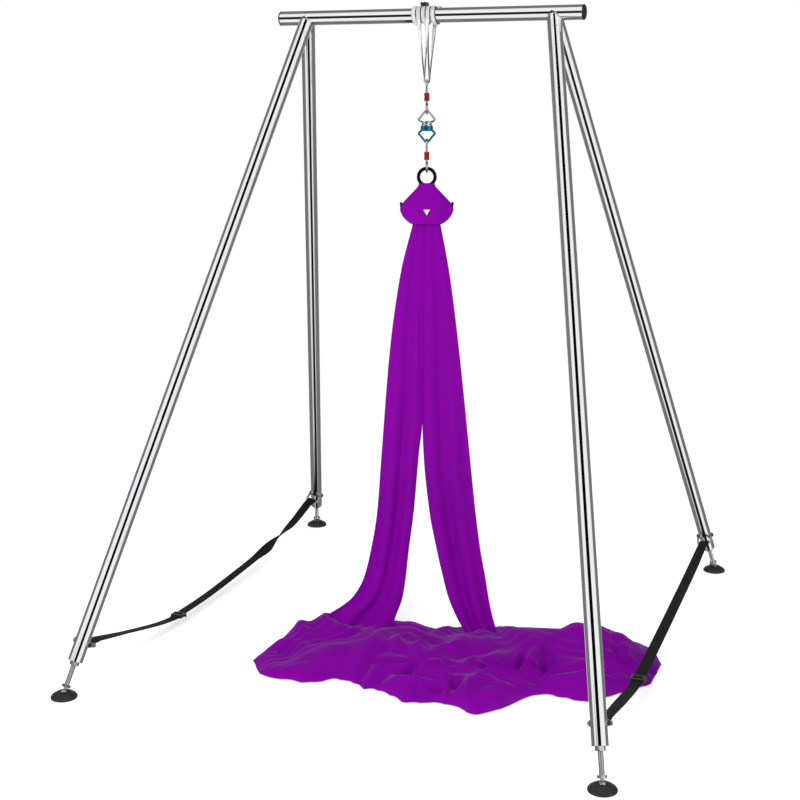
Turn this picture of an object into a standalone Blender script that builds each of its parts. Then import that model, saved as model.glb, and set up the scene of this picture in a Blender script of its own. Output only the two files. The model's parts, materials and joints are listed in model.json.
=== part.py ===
"""Free-standing aerial yoga frame with its rigging and a two-tailed silk.

Metres, +Z up. The floor is z = 0, X runs along the top bar and the front is -Y.
"""

import math

import bmesh
import bpy
from mathutils import Matrix, Vector

# Clearances
GAP = 0.0003
RUNNING = 0.0004

# Top bar, legs and their sockets
BAR_HEIGHT = 2.900
BAR_LENGTH = 1.432
TUBE_RADIUS = 0.033
TUBE_WALL = 0.003
CAP_INSERT = 0.030
CAP_FLANGE = 0.003
CAP_DOME = 0.009
LEG_SPREAD_AT_BAR = 0.585
FOOT_HALF_WIDTH = 1.190
FOOT_HALF_DEPTH = 1.335
SPIGOT_LENGTH = 0.100
SPIGOT_WALL = 0.004

# Levelling feet
BALL_RADIUS = 0.0165
BALL_FLOOR = 0.0055
BALL_CLEARANCE = 0.0008
PIN_RADIUS = 0.0065
NECK_RADIUS = 0.0075
STUD_RADIUS = 0.011
STUD_ENGAGEMENT = 0.045
STUD_HEX_FLATS = 0.034
STUD_HEX_HEIGHT = 0.012
STUD_HEX_START = 0.024
LEG_END = 0.142
PLUG_LENGTH = 0.110
COLLAR_FLATS = 0.036
COLLAR_HEIGHT = 0.018
PAD_RADIUS = 0.0575
PAD_RIM = 0.0075
PAD_OPENING = math.radians(65.0)

# Strap brackets and their cross bolts
BOLT_ABOVE_END = 0.085
BOLT_RADIUS = 0.005
BOLT_HEAD_RADIUS = 0.009
BOLT_HEAD_HEIGHT = 0.006
EAR_THICKNESS = 0.004
EAR_BOLT_END = 0.013
EAR_BAR_END = 0.0085
CROSSBAR_REACH = 0.058
CROSSBAR_RADIUS = 0.005

# Webbing straps and buckles
STRAP_WIDTH = 0.050
STRAP_THICKNESS = 0.0025
STRAP_TAIL = 0.055
SEWN_GAP = 0.0008
BUCKLE_LENGTH = 0.044
BUCKLE_SIDE = 0.007
BUCKLE_PLATE = 0.0045
LEVER_LENGTH = 0.034
LEVER_THICKNESS = 0.003
LEVER_PIN = 0.003

# Rope sling round the bar
SLING_PITCH = 0.0225
SLING_TURNS = 5
LONG_TURNS = (1, 3)
BAND_HALF_WIDTH = 0.01025
BAND_HALF_THICKNESS = 0.004
STRAND_HALF_WIDTH = 0.0052
STRAND_TAPER = 1.5
SLING_DROP = 0.2837
BIGHT_OFFSET = 0.008
BIGHT_CLEARANCE = 0.0012
POINTS_PER_TURN = 24
STRAND_POINTS = 6
KNOT_SCALE = 0.006
KNOT_RISE = 0.0055
KNOT_RADIUS = 0.0042
KNOT_SEAT = 0.0021
KNOT_X = -0.013
KNOT_POINTS = 30

# Turn of everything under the sling about the vertical
HANG_TURN = math.radians(20.0)

# Carabiners
CARABINER_HEIGHT = 0.145
CARABINER_WIDTH = 0.066
CARABINER_ROD = 0.006
HINGE_RISE = 0.0065
HINGE_KNUCKLE = 0.0055
TONGUE_THICKNESS = 0.005
HINGE_PIN = 0.0015
NOSE_DROP = 0.0045
SLEEVE_RADIUS = 0.0120
SLEEVE_LENGTH = 0.036
SLEEVE_RIM = 0.0015

# Swivel
BAIL_ROD = 0.005
BAIL_HALF_WIDTH = 0.0368
UPPER_BAIL_DROP = 0.0486
LOWER_BAIL_DROP = 0.0490
UPPER_HUB_RADIUS = 0.0225
UPPER_HUB_HEIGHT = 0.020
LOWER_HUB_RADIUS = 0.0287
LOWER_HUB_HEIGHT = 0.022
HUB_CHAMFER = 0.004
AXLE_RADIUS = 0.0055
AXLE_HEAD_RADIUS = 0.0130
AXLE_HEAD_HEIGHT = 0.005
RACE_HEIGHT = 0.005
RACE_RADIUS = 0.0155

# Rescue eight with ears
EIGHT_ROD = 0.008
SMALL_RING = 0.038
LARGE_RING = 0.074
RING_SPACING = 0.0115
EAR_SPAN = 0.1165
EAR_TIP_RADIUS = 0.0055

# Silk
WRAP_TOP = 0.0295
WRAP_DROP = 0.092
WRAP_HALF_TOP = 0.036
WRAP_HALF_WIDTH = 0.119
WRAP_HALF_BOTTOM = 0.068
WRAP_HALF_DEPTH = 0.026
POCKET_CLEARANCE = 0.0008
KEYHOLE_WIDTH = 0.028
KEYHOLE_HEIGHT = 0.024
TAIL_PARTING = 0.0002
TAIL_THICKNESS = 0.013
TAIL_FOLDS = 3.0
TAIL_REACH = 0.12
PILE_HEIGHT = 0.155
PILE_DEPTH = 0.80
PILE_FOLD = 0.016
PILE_HEM = 0.004

SIDES = {"left": -1.0, "right": 1.0}
ROWS = {"front": -1.0, "back": 1.0}

# Facets round the tubes, the turned hubs and pads, and the small turned pieces
TUBE_STEPS = 20
HUB_STEPS = 16
SMALL_STEPS = 10
ROD_SIDES = 8
# Factor that lets the corners of a faceted shaft turn past the flats of its bore
TURNING_BORE = 1.0 / math.cos(math.pi / SMALL_STEPS)


# Materials


def finish(name, colour, metallic, roughness):
    """Return a Principled material."""
    material = bpy.data.materials.new(name)
    material.use_nodes = True
    shader = material.node_tree.nodes["Principled BSDF"]
    shader.inputs["Base Color"].default_value = (*colour, 1.0)
    shader.inputs["Metallic"].default_value = metallic
    shader.inputs["Roughness"].default_value = roughness
    material.diffuse_color = (*colour, 1.0)
    return material


# Mesh helpers


def clear_scene():
    """Remove every object that the file opened with."""
    for thing in list(bpy.data.objects):
        bpy.data.objects.remove(thing, do_unlink=True)


def add_object(name, bm, material, parent=None, location=(0.0, 0.0, 0.0)):
    """Turn a bmesh into a smooth-shaded object under its parent."""
    bmesh.ops.remove_doubles(bm, verts=bm.verts, dist=1e-6)
    bmesh.ops.recalc_face_normals(bm, faces=bm.faces)
    mesh = bpy.data.meshes.new(name)
    bm.to_mesh(mesh)
    bm.free()
    mesh.shade_smooth()
    mesh.set_sharp_from_angle(angle=math.radians(35.0))
    mesh.materials.append(material)
    thing = bpy.data.objects.new(name, mesh)
    bpy.context.scene.collection.objects.link(thing)
    thing.parent = parent
    thing.location = location
    return thing


def add_pivot(name, matrix, parent=None):
    """Add an empty that carries pieces."""
    pivot = bpy.data.objects.new(name, None)
    pivot.empty_display_size = 0.05
    bpy.context.scene.collection.objects.link(pivot)
    pivot.parent = parent
    pivot.matrix_local = matrix
    return pivot


def combine(target, name, bm, operation, parent=None, location=(0.0, 0.0, 0.0)):
    """Cut or join a helper shape with an exact Boolean."""
    helper = add_object(name, bm, target.data.materials[0], parent, location)
    helper.hide_render = True
    helper.display_type = "WIRE"
    modifier = target.modifiers.new(name, "BOOLEAN")
    modifier.operation = operation
    modifier.solver = "EXACT"
    modifier.object = helper
    return helper


def lathe(profile, steps, matrix=None, closed=False):
    """Spin (radius, height) points round Z; a closed profile makes a ring."""
    bm = bmesh.new()
    points = [bm.verts.new((radius, 0.0, height)) for radius, height in profile]
    edges = [bm.edges.new(pair) for pair in zip(points, points[1:])]
    if closed:
        edges.append(bm.edges.new((points[-1], points[0])))
    bmesh.ops.spin(
        bm,
        geom=points + edges,
        axis=(0.0, 0.0, 1.0),
        cent=(0.0, 0.0, 0.0),
        angle=2.0 * math.pi,
        steps=steps,
        use_merge=True,
        use_duplicate=False,
    )
    bmesh.ops.remove_doubles(bm, verts=bm.verts, dist=1e-6)
    if matrix is not None:
        bmesh.ops.transform(bm, matrix=matrix, verts=bm.verts)
    return bm


def rod(radius, low, high, steps, matrix=None):
    """Solid round bar along Z from low to high."""
    profile = [(0.0, low), (radius, low), (radius, high), (0.0, high)]
    return lathe(profile, steps, matrix)


def tube(outer, inner, low, high, steps, matrix=None):
    """Round tube along Z."""
    profile = [(inner, low), (outer, low), (outer, high), (inner, high)]
    return lathe(profile, steps, matrix, closed=True)


def block(low, high, matrix=None):
    """Box between two corners."""
    bm = bmesh.new()
    size = [b - a for a, b in zip(low, high)]
    middle = [(a + b) / 2.0 for a, b in zip(low, high)]
    place = Matrix.Translation(middle) @ Matrix.Diagonal((*size, 1.0))
    bmesh.ops.create_cube(bm, size=1.0, matrix=place)
    if matrix is not None:
        bmesh.ops.transform(bm, matrix=matrix, verts=bm.verts)
    return bm


def extrude_outline(outline, low, high, matrix=None):
    """Extrude an XY outline along Z."""
    bm = bmesh.new()
    face = bm.faces.new([bm.verts.new((x, y, low)) for x, y in outline])
    top = bmesh.ops.extrude_face_region(bm, geom=[face])
    moved = [item for item in top["geom"] if isinstance(item, bmesh.types.BMVert)]
    bmesh.ops.translate(bm, vec=(0.0, 0.0, high - low), verts=moved)
    if matrix is not None:
        bmesh.ops.transform(bm, matrix=matrix, verts=bm.verts)
    return bm


def skin(rings, close_path=False):
    """Join a row of rings into one closed body."""
    bm = bmesh.new()
    loops = [[bm.verts.new(point) for point in ring] for ring in rings]
    count = len(loops[0])
    pairs = list(zip(loops, loops[1:]))
    if close_path:
        pairs.append((loops[-1], loops[0]))
    for first, second in pairs:
        for i in range(count):
            j = (i + 1) % count
            bm.faces.new((first[i], first[j], second[j], second[i]))
    if not close_path:
        bm.faces.new(loops[0])
        bm.faces.new(loops[-1])
    bmesh.ops.triangulate(bm, faces=bm.faces)
    return bm


def strip(rings):
    """Join four-cornered rings, both broad faces split along the same diagonal."""
    bm = bmesh.new()
    loops = [[bm.verts.new(point) for point in ring] for ring in rings]
    for a, b in zip(loops, loops[1:]):
        for i in (0, 1, 3):
            j = (i + 1) % 4
            bm.faces.new((a[i], a[j], b[j]))
            bm.faces.new((a[i], b[j], b[i]))
        bm.faces.new((a[2], a[3], b[2]))
        bm.faces.new((a[3], b[3], b[2]))
    bm.faces.new(loops[0])
    bm.faces.new(loops[-1])
    return bm


def tangents(points, close_path=False):
    """Unit tangents by central differences."""
    last = len(points) - 1
    found = []
    for i in range(len(points)):
        if close_path:
            step = points[(i + 1) % len(points)] - points[i - 1]
        else:
            step = points[min(i + 1, last)] - points[max(i - 1, 0)]
        found.append(step.normalized())
    return found


def oval_rings(points, wide_axes, halves, sides, close_path=False, turned=0.5):
    """Oval sections across a path; halves are (half width, half thickness)."""
    rings = []
    for point, along, wide, (a, b) in zip(points, tangents(points, close_path), wide_axes, halves):
        across = (wide - along * wide.dot(along)).normalized()
        other = along.cross(across)
        ring = []
        for k in range(sides):
            turn = 2.0 * math.pi * (k + turned) / sides
            ring.append(point + across * (a * math.cos(turn)) + other * (b * math.sin(turn)))
        rings.append(ring)
    return rings


def bent_rod(points, radius, plane_normal, sides):
    """Round rod along a path that lies in one plane."""
    halves = [(radius, radius)] * len(points)
    return skin(oval_rings(points, [plane_normal] * len(points), halves, sides, turned=0.0))


def arc(centre, radius, start, end, steps):
    """Points (a, b) on a circular arc, angles in degrees."""
    angles = [math.radians(start + (end - start) * k / steps) for k in range(steps + 1)]
    return [(centre[0] + radius * math.cos(t), centre[1] + radius * math.sin(t)) for t in angles]


def smooth_curve(points, per_span):
    """Catmull-Rom curve through the points."""
    padded = [points[0] * 2 - points[1]] + points + [points[-1] * 2 - points[-2]]
    found = []
    for a, b, c, d in zip(padded, padded[1:], padded[2:], padded[3:]):
        for k in range(per_span):
            t = k / per_span
            bend = (a * 2 - b * 5 + c * 4 - d) * t**2
            turn = (b * 3 - a - c * 3 + d) * t**3
            found.append(0.5 * (b * 2 + (c - a) * t + bend + turn))
    return found + [points[-1]]


def smooth_table(table):
    """Function that reads a smooth curve through rows of (height, distance)."""
    curve = smooth_curve([Vector(row) for row in table], 6)

    def read(height):
        for low, high in zip(curve, curve[1:]):
            if height <= high.x:
                return low.y + (high.y - low.y) * (height - low.x) / (high.x - low.x)
        return curve[-1].y

    return read


def interpolate(table, value):
    """Smooth value read from rows of (position, value)."""
    if value <= table[0][0]:
        return table[0][1]
    for (low, a), (high, b) in zip(table, table[1:]):
        if value <= high:
            t = (value - low) / (high - low)
            t = t * t * (3.0 - 2.0 * t)
            return a + (b - a) * t
    return table[-1][1]


# A turned shape laid along X
ALONG_X = Matrix.Rotation(math.radians(90.0), 4, "Y")
# Half a facet's turn, so that the two legs of a pair meet on an edge
HALF_FACET = Matrix.Rotation(math.pi / TUBE_STEPS, 4, "Z")
# An outline stood up in the YZ plane, with its thickness along X
UPRIGHT_YZ = Matrix(((0.0, 0.0, 1.0), (1.0, 0.0, 0.0), (0.0, 1.0, 0.0))).to_4x4()
# An outline stood up in the XZ plane, with its thickness along Y
UPRIGHT_XZ = Matrix(((1.0, 0.0, 0.0), (0.0, 0.0, -1.0), (0.0, 1.0, 0.0))).to_4x4()


# Frame


def ball_height():
    """Height of a foot's ball centre over the floor."""
    return BALL_FLOOR + BALL_RADIUS


def leg_frame(side, row):
    """Matrix at the foot's ball: X across the leg, Y inward, Z up the leg."""
    top = Vector((SIDES[side] * LEG_SPREAD_AT_BAR, 0.0, BAR_HEIGHT))
    ball = Vector((SIDES[side] * FOOT_HALF_WIDTH, ROWS[row] * FOOT_HALF_DEPTH, ball_height()))
    up = (top - ball).normalized()
    inward = Vector((0.0, -ROWS[row], 0.0))
    inward = (inward - up * inward.dot(up)).normalized()
    across = inward.cross(up)
    turned = Matrix((across, inward, up)).transposed().to_4x4()
    return Matrix.Translation(ball) @ turned, (top - ball).length


def seam_distance():
    """Distance down a leg from the bar's axis at which the pair of legs part."""
    matrix, _ = leg_frame("left", "front")
    lean = math.asin(abs(matrix.col[2][1]))
    return (TUBE_RADIUS * math.cos(lean) + 2.0 * GAP) / math.sin(lean) + CAP_FLANGE


def make_bar(chrome, rubber):
    """Top bar with its two domed end caps."""
    middle = Matrix.Translation((0.0, 0.0, BAR_HEIGHT)) @ ALONG_X
    half = BAR_LENGTH / 2.0
    inner = TUBE_RADIUS - TUBE_WALL
    add_object("top_bar", tube(TUBE_RADIUS, inner, -half, half, TUBE_STEPS, middle), chrome)
    profile = [
        (0.0, -CAP_INSERT),
        (inner - RUNNING - CAP_FLANGE / 3.0, -CAP_INSERT),
        (inner - RUNNING, -CAP_INSERT + CAP_FLANGE),
        (inner - RUNNING, GAP),
        (TUBE_RADIUS, GAP),
        (TUBE_RADIUS, CAP_FLANGE),
        (TUBE_RADIUS * 0.82, CAP_FLANGE + CAP_DOME * 0.62),
        (TUBE_RADIUS * 0.45, CAP_FLANGE + CAP_DOME * 0.93),
        (0.0, CAP_FLANGE + CAP_DOME),
    ]
    for side, sign in SIDES.items():
        turn = ALONG_X if sign > 0 else Matrix.Rotation(math.radians(-90.0), 4, "Y")
        place = Matrix.Translation((sign * half, 0.0, BAR_HEIGHT)) @ turn
        add_object(f"bar_cap_{side}", lathe(profile, TUBE_STEPS, place), rubber)


def make_sockets(chrome):
    """Welded sockets: a stub and spigot for each leg of a pair."""
    bore = TUBE_RADIUS - TUBE_WALL - RUNNING - SPIGOT_WALL
    spigot = TUBE_RADIUS - TUBE_WALL - RUNNING
    seam = seam_distance()
    tip = seam + SPIGOT_LENGTH
    for side, sign in SIDES.items():
        stubs = []
        for row in ROWS:
            matrix, length = leg_frame(side, row)
            flip = Matrix.Rotation(math.pi, 4, "X") @ HALF_FACET
            down = matrix @ Matrix.Translation((0.0, 0.0, length)) @ flip
            profile = [
                (0.0, TUBE_RADIUS * 0.25),
                (TUBE_RADIUS * 0.72, TUBE_RADIUS * 0.25),
                (TUBE_RADIUS, TUBE_RADIUS * 0.62),
                (TUBE_RADIUS, seam),
                (spigot, seam),
                (spigot, tip),
                (bore, tip),
                (bore, seam + GAP),
                (0.0, seam + GAP),
            ]
            stubs.append(lathe(profile, TUBE_STEPS, down))
        socket = add_object(f"leg_socket_{side}", stubs[0], chrome)
        combine(socket, f"socket_mate_{side}", stubs[1], "UNION")
        saddle = Matrix.Translation((sign * LEG_SPREAD_AT_BAR, 0.0, BAR_HEIGHT)) @ ALONG_X
        reach = 4.0 * TUBE_RADIUS
        cut = rod(TUBE_RADIUS + GAP, -reach, reach, TUBE_STEPS, saddle)
        combine(socket, f"socket_saddle_{side}", cut, "DIFFERENCE")


def hex_outline(flats):
    """Corners of a hexagon with the given width across flats."""
    corner = flats / math.sqrt(3.0)
    return [(corner * math.cos(k * math.pi / 3.0), corner * math.sin(k * math.pi / 3.0)) for k in range(6)]


def make_leg(side, row, chrome, steel):
    """Leg tube and the threaded plug in its lower end."""
    matrix, length = leg_frame(side, row)
    axis = add_pivot(f"leg_axis_{row}_{side}", matrix)
    inner = TUBE_RADIUS - TUBE_WALL
    top = length - seam_distance() - GAP
    leg = add_object(f"leg_{row}_{side}", tube(TUBE_RADIUS, inner, LEG_END, top, TUBE_STEPS), chrome, axis)
    bolt_z = LEG_END + BOLT_ABOVE_END
    across = Matrix.Translation((0.0, 0.0, bolt_z)) @ ALONG_X
    hole = rod(BOLT_RADIUS + RUNNING, -2.0 * TUBE_RADIUS, 2.0 * TUBE_RADIUS, SMALL_STEPS, across)
    combine(leg, f"leg_hole_{row}_{side}", hole, "DIFFERENCE", axis)
    profile = [(0.0, LEG_END), (inner - RUNNING, LEG_END)]
    profile += [(inner - RUNNING, LEG_END + PLUG_LENGTH), (0.0, LEG_END + PLUG_LENGTH)]
    plug = add_object(f"leg_plug_{row}_{side}", lathe(profile, TUBE_STEPS), steel, axis)
    collar = extrude_outline(hex_outline(COLLAR_FLATS), LEG_END - COLLAR_HEIGHT, LEG_END + COLLAR_HEIGHT)
    combine(plug, f"plug_collar_{row}_{side}", collar, "UNION", axis)
    thread = (STUD_RADIUS + GAP) * TURNING_BORE
    bore = rod(thread, 0.0, LEG_END + 2.0 * PLUG_LENGTH, SMALL_STEPS)
    combine(plug, f"plug_bore_{row}_{side}", bore, "DIFFERENCE", axis)
    hole = rod(BOLT_RADIUS + RUNNING, -2.0 * TUBE_RADIUS, 2.0 * TUBE_RADIUS, SMALL_STEPS, across)
    combine(plug, f"plug_hole_{row}_{side}", hole, "DIFFERENCE", axis)
    return axis


def make_foot(side, row, steel, rubber):
    """Levelling foot: ball, threaded stud and rubber pad."""
    matrix, _ = leg_frame(side, row)
    slide = add_pivot(f"foot_axis_{row}_{side}", matrix)
    bore = (PIN_RADIUS + GAP) * TURNING_BORE
    flat = math.sqrt(BALL_RADIUS**2 - bore**2)
    edge = math.degrees(math.atan2(flat, bore))
    ball = arc((0.0, 0.0), BALL_RADIUS, -edge, edge, 5)
    add_object(f"foot_ball_{row}_{side}", lathe(ball, SMALL_STEPS, closed=True), steel, slide)
    neck = flat + 1.5 * GAP
    stud_top = LEG_END + STUD_ENGAGEMENT
    profile = [
        (0.0, -flat + GAP),
        (PIN_RADIUS, -flat + GAP),
        (PIN_RADIUS, neck),
        (NECK_RADIUS, neck),
        (NECK_RADIUS, STUD_HEX_START + STUD_HEX_HEIGHT / 2.0),
        (STUD_RADIUS, STUD_HEX_START + STUD_HEX_HEIGHT / 2.0),
        (STUD_RADIUS, stud_top - 2.0 * RUNNING),
        (STUD_RADIUS - 2.0 * RUNNING, stud_top),
        (0.0, stud_top),
    ]
    stud = add_object(f"foot_stud_{row}_{side}", lathe(profile, SMALL_STEPS), steel, slide)
    hexagon = extrude_outline(hex_outline(STUD_HEX_FLATS), STUD_HEX_START, STUD_HEX_START + STUD_HEX_HEIGHT)
    combine(stud, f"stud_hex_{row}_{side}", hexagon, "UNION", slide)
    make_pad(side, row, matrix, rubber)


def make_pad(side, row, matrix, rubber):
    """Domed rubber pad whose socket snaps over the ball."""
    level = Matrix.Translation(matrix.translation)
    tilt = add_pivot(f"pad_axis_{row}_{side}", level)
    floor = -ball_height()
    socket = BALL_RADIUS + BALL_CLEARANCE
    lip = 90.0 - math.degrees(PAD_OPENING)
    cavity = arc((0.0, 0.0), socket, lip, -90.0, 6)
    lip_radius = cavity[0][0]
    profile = cavity[::-1] + [
        (lip_radius + 0.09 * PAD_RADIUS, cavity[0][1] + 2.0 * RUNNING),
        (0.52 * PAD_RADIUS, 0.30 * BALL_RADIUS),
        (0.74 * PAD_RADIUS, floor + PAD_RIM + 0.72 * BALL_RADIUS),
        (0.92 * PAD_RADIUS, floor + PAD_RIM + 0.34 * BALL_RADIUS),
        (PAD_RADIUS, floor + PAD_RIM),
        (PAD_RADIUS, floor),
        (0.0, floor),
    ]
    profile[0] = (0.0, profile[0][1])
    add_object(f"foot_pad_{row}_{side}", lathe(profile, HUB_STEPS), rubber, tilt)


def ear_outline():
    """Teardrop plate outline in the leg's inward and upward directions."""
    tail = arc((0.0, 0.0), EAR_BOLT_END, 100.0, 260.0, 6)
    nose = arc((CROSSBAR_REACH, 0.0), EAR_BAR_END, -80.0, 80.0, 4)
    return tail + nose


def make_bracket(side, row, axis, steel):
    """Stirrup: two ear plates joined by a round crossbar."""
    bolt_z = LEG_END + BOLT_ABOVE_END
    inner = TUBE_RADIUS + GAP
    outer = inner + EAR_THICKNESS
    place = Matrix.Translation((0.0, 0.0, bolt_z)) @ UPRIGHT_YZ
    name = f"strap_bracket_{row}_{side}"
    bracket = add_object(name, extrude_outline(ear_outline(), -outer, -inner, place), steel, axis)
    other = extrude_outline(ear_outline(), inner, outer, place)
    bar_place = Matrix.Translation((0.0, CROSSBAR_REACH, bolt_z)) @ ALONG_X
    reach = outer - EAR_THICKNESS / 2.0
    bar = rod(CROSSBAR_RADIUS, -reach, reach, SMALL_STEPS, bar_place)
    combine(bracket, f"bracket_bar_{row}_{side}", bar, "UNION", axis)
    combine(bracket, f"bracket_ear_{row}_{side}", other, "UNION", axis)
    hole_place = Matrix.Translation((0.0, 0.0, bolt_z)) @ ALONG_X
    hole = rod(BOLT_RADIUS + RUNNING, -2.0 * outer, 2.0 * outer, SMALL_STEPS, hole_place)
    combine(bracket, f"bracket_hole_{row}_{side}", hole, "DIFFERENCE", axis)


def make_cross_bolt(side, row, axis, dark):
    """Bolt through the leg and both ears, with its nut run up tight."""
    seat = TUBE_RADIUS + 2.0 * GAP + EAR_THICKNESS
    head = BOLT_HEAD_HEIGHT
    profile = [
        (0.0, -seat - head),
        (BOLT_HEAD_RADIUS * 0.7, -seat - head),
        (BOLT_HEAD_RADIUS, -seat - head * 0.45),
        (BOLT_HEAD_RADIUS, -seat),
        (BOLT_RADIUS, -seat),
        (BOLT_RADIUS, seat + head + BOLT_RADIUS / 2.0),
        (0.0, seat + head + BOLT_RADIUS / 2.0),
    ]
    across = Matrix.Translation((0.0, 0.0, LEG_END + BOLT_ABOVE_END)) @ ALONG_X
    bolt = add_object(f"cross_bolt_{row}_{side}", lathe(profile, SMALL_STEPS, across), dark, axis)
    nut = extrude_outline(hex_outline(2.0 * BOLT_HEAD_RADIUS), seat, seat + head, across)
    combine(bolt, f"bolt_nut_{row}_{side}", nut, "UNION", axis)


# Straps


# Points (y, z) that each strap sags through, before and after its buckle
STRAP_BEFORE = {"left": [(-0.80, 0.118), (-0.60, 0.074)], "right": [(-0.82, 0.146), (-0.68, 0.124)]}
STRAP_AFTER = {
    "left": [(-0.10, 0.052), (0.25, 0.068), (0.60, 0.092), (0.90, 0.136)],
    "right": [(-0.25, 0.117), (0.10, 0.133), (0.43, 0.152), (0.79, 0.174)],
}
BUCKLES = {"left": (-0.404, 0.052), "right": (-0.517, 0.112)}
TWISTS = {"left": (0.40, 0.92), "right": None}


def crossbar(side, row):
    """Middle of a strap bracket's crossbar and the way it runs, toward +X."""
    matrix, _ = leg_frame(side, row)
    centre = matrix @ Vector((0.0, CROSSBAR_REACH, LEG_END + BOLT_ABOVE_END))
    run = matrix.col[0].xyz
    return centre, run if run.x > 0.0 else -run


def strap_end(side, row, toward):
    """Points from the sewn tail round a crossbar and out along the main run."""
    centre, run = crossbar(side, row)
    forward = Vector((0.0, 1.0, 0.0))
    up = run.cross(forward)
    heading = Vector((centre.x, *toward)) - centre
    along = Vector((heading.dot(forward), heading.dot(up))).normalized()
    across = Vector((-along.y, along.x)) * math.copysign(1.0, along.x)
    loop = CROSSBAR_RADIUS + GAP + STRAP_THICKNESS / 2.0 + RUNNING
    under = loop - STRAP_THICKNESS - SEWN_GAP
    flat = [(STRAP_TAIL, under), (STRAP_TAIL * 0.74, under), (STRAP_TAIL * 0.40, under - SEWN_GAP)]
    flat += arc((0.0, 0.0), loop, -64.0, -270.0, 8)
    flat += [(STRAP_TAIL * 0.5, loop), (STRAP_TAIL * 1.15, loop)]
    turned = [along * a + across * b for a, b in flat]
    return [centre + forward * point.x + up * point.y for point in turned]


def strap_path(side):
    """Centre line of a strap, from sewn tail to sewn tail."""
    before, after = STRAP_BEFORE[side], STRAP_AFTER[side]
    start = strap_end(side, "front", before[0])
    finish_end = strap_end(side, "back", after[-1])[::-1]
    x = crossbar(side, "front")[0].x
    y, z = BUCKLES[side]
    level = [(y + BUCKLE_LENGTH * step, z) for step in (-1.4, -0.7, 0.0, 0.7, 1.4)]
    route = [Vector((x, *point)) for point in before + level + after]
    middle = smooth_curve([start[-1]] + route + [finish_end[0]], 3)[1:-1]
    return start + middle + finish_end


def make_strap(side, webbing):
    """Flat webbing looped round both crossbars, sagging between them."""
    points = strap_path(side)
    front, front_run = crossbar(side, "front")
    back, back_run = crossbar(side, "back")
    level = Vector((1.0, 0.0, 0.0))
    settle = 4.0 * STRAP_TAIL
    twist = TWISTS[side]
    rings = []
    for point, along in zip(points, tangents(points)):
        near_front = min(max((point.y - front.y - 1.2 * STRAP_TAIL) / settle, 0.0), 1.0)
        near_back = min(max((back.y - point.y - 1.2 * STRAP_TAIL) / settle, 0.0), 1.0)
        wide = front_run.lerp(level, near_front) if near_front < 1.0 else back_run.lerp(level, near_back)
        wide = (wide - along * wide.dot(along)).normalized()
        if twist:
            share = min(max((point.y - twist[0]) / (twist[1] - twist[0]), 0.0), 1.0)
            wide = Matrix.Rotation(math.pi * share * share * (3.0 - 2.0 * share), 3, along) @ wide
        other = along.cross(wide)
        half = STRAP_WIDTH / 2.0
        thin = STRAP_THICKNESS / 2.0
        corners = ((-half, -thin), (half, -thin), (half, thin), (-half, thin))
        rings.append([point + wide * a + other * b for a, b in corners])
    add_object(f"strap_{side}", strip(rings), webbing)
    length = sum((b - a).length for a, b in zip(points, points[1:]))
    print(f"strap_{side}: {length:.3f} m of webbing")


def make_buckle(side, dark):
    """Cam buckle: a slotted frame under which a lever hangs on its pin."""
    y, z = BUCKLES[side]
    x = crossbar(side, "front")[0].x
    centre = Vector((x, y, z))
    half_slot = STRAP_WIDTH / 2.0 + 2.0 * RUNNING
    half_height = STRAP_THICKNESS / 2.0 + 2.0 * RUNNING
    half_width = half_slot + BUCKLE_SIDE
    half_length = BUCKLE_LENGTH / 2.0
    low = (-half_width, -half_length, -half_height - BUCKLE_PLATE)
    high = (half_width, half_length, half_height + BUCKLE_PLATE)
    name = f"strap_buckle_{side}"
    frame = add_object(name, block(low, high), dark, None, centre)
    slot = block((-half_slot, -half_length * 2.0, -half_height), (half_slot, half_length * 2.0, half_height))
    combine(frame, f"buckle_slot_{side}", slot, "DIFFERENCE", None, centre)
    hinge_z = low[2] - LEVER_PIN - GAP
    hinge_y = half_length - 2.0 * LEVER_PIN
    for sign in (-1.0, 1.0):
        inside = half_width - BUCKLE_SIDE / 2.0
        span = sorted((sign * inside, sign * half_width))
        cheek = block(
            (span[0], hinge_y - 1.5 * LEVER_PIN, hinge_z - 1.5 * LEVER_PIN),
            (span[1], hinge_y + 1.5 * LEVER_PIN, low[2] + BUCKLE_PLATE / 2.0),
        )
        combine(frame, f"buckle_cheek_{side}_{sign:+.0f}", cheek, "UNION", None, centre)
    pin_place = Matrix.Translation((0.0, hinge_y, hinge_z)) @ ALONG_X
    pin_hole = rod(LEVER_PIN * 0.5 + GAP, -half_width * 2.0, half_width * 2.0, SMALL_STEPS, pin_place)
    combine(frame, f"buckle_pin_hole_{side}", pin_hole, "DIFFERENCE", None, centre)
    pivot = add_pivot(f"lever_axis_{side}", Matrix.Translation(centre + Vector((0.0, hinge_y, hinge_z))))
    knuckle = half_width - BUCKLE_SIDE / 2.0 - RUNNING
    name = f"buckle_lever_{side}"
    lever = add_object(name, rod(LEVER_PIN, -knuckle, knuckle, SMALL_STEPS, ALONG_X), dark, pivot)
    plate = block(
        (-knuckle * 0.86, -LEVER_LENGTH, -LEVER_PIN * 0.9),
        (knuckle * 0.86, 0.0, -LEVER_PIN * 0.9 + LEVER_THICKNESS),
    )
    combine(lever, f"lever_plate_{side}", plate, "UNION", pivot)
    pins = rod(LEVER_PIN * 0.5, -half_width, half_width, SMALL_STEPS, ALONG_X)
    combine(lever, f"lever_pin_{side}", pins, "UNION", pivot)


# Sling


def sling_height():
    """Height of the upper carabiner's top rod, which the sling holds."""
    return BAR_HEIGHT - SLING_DROP


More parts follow.
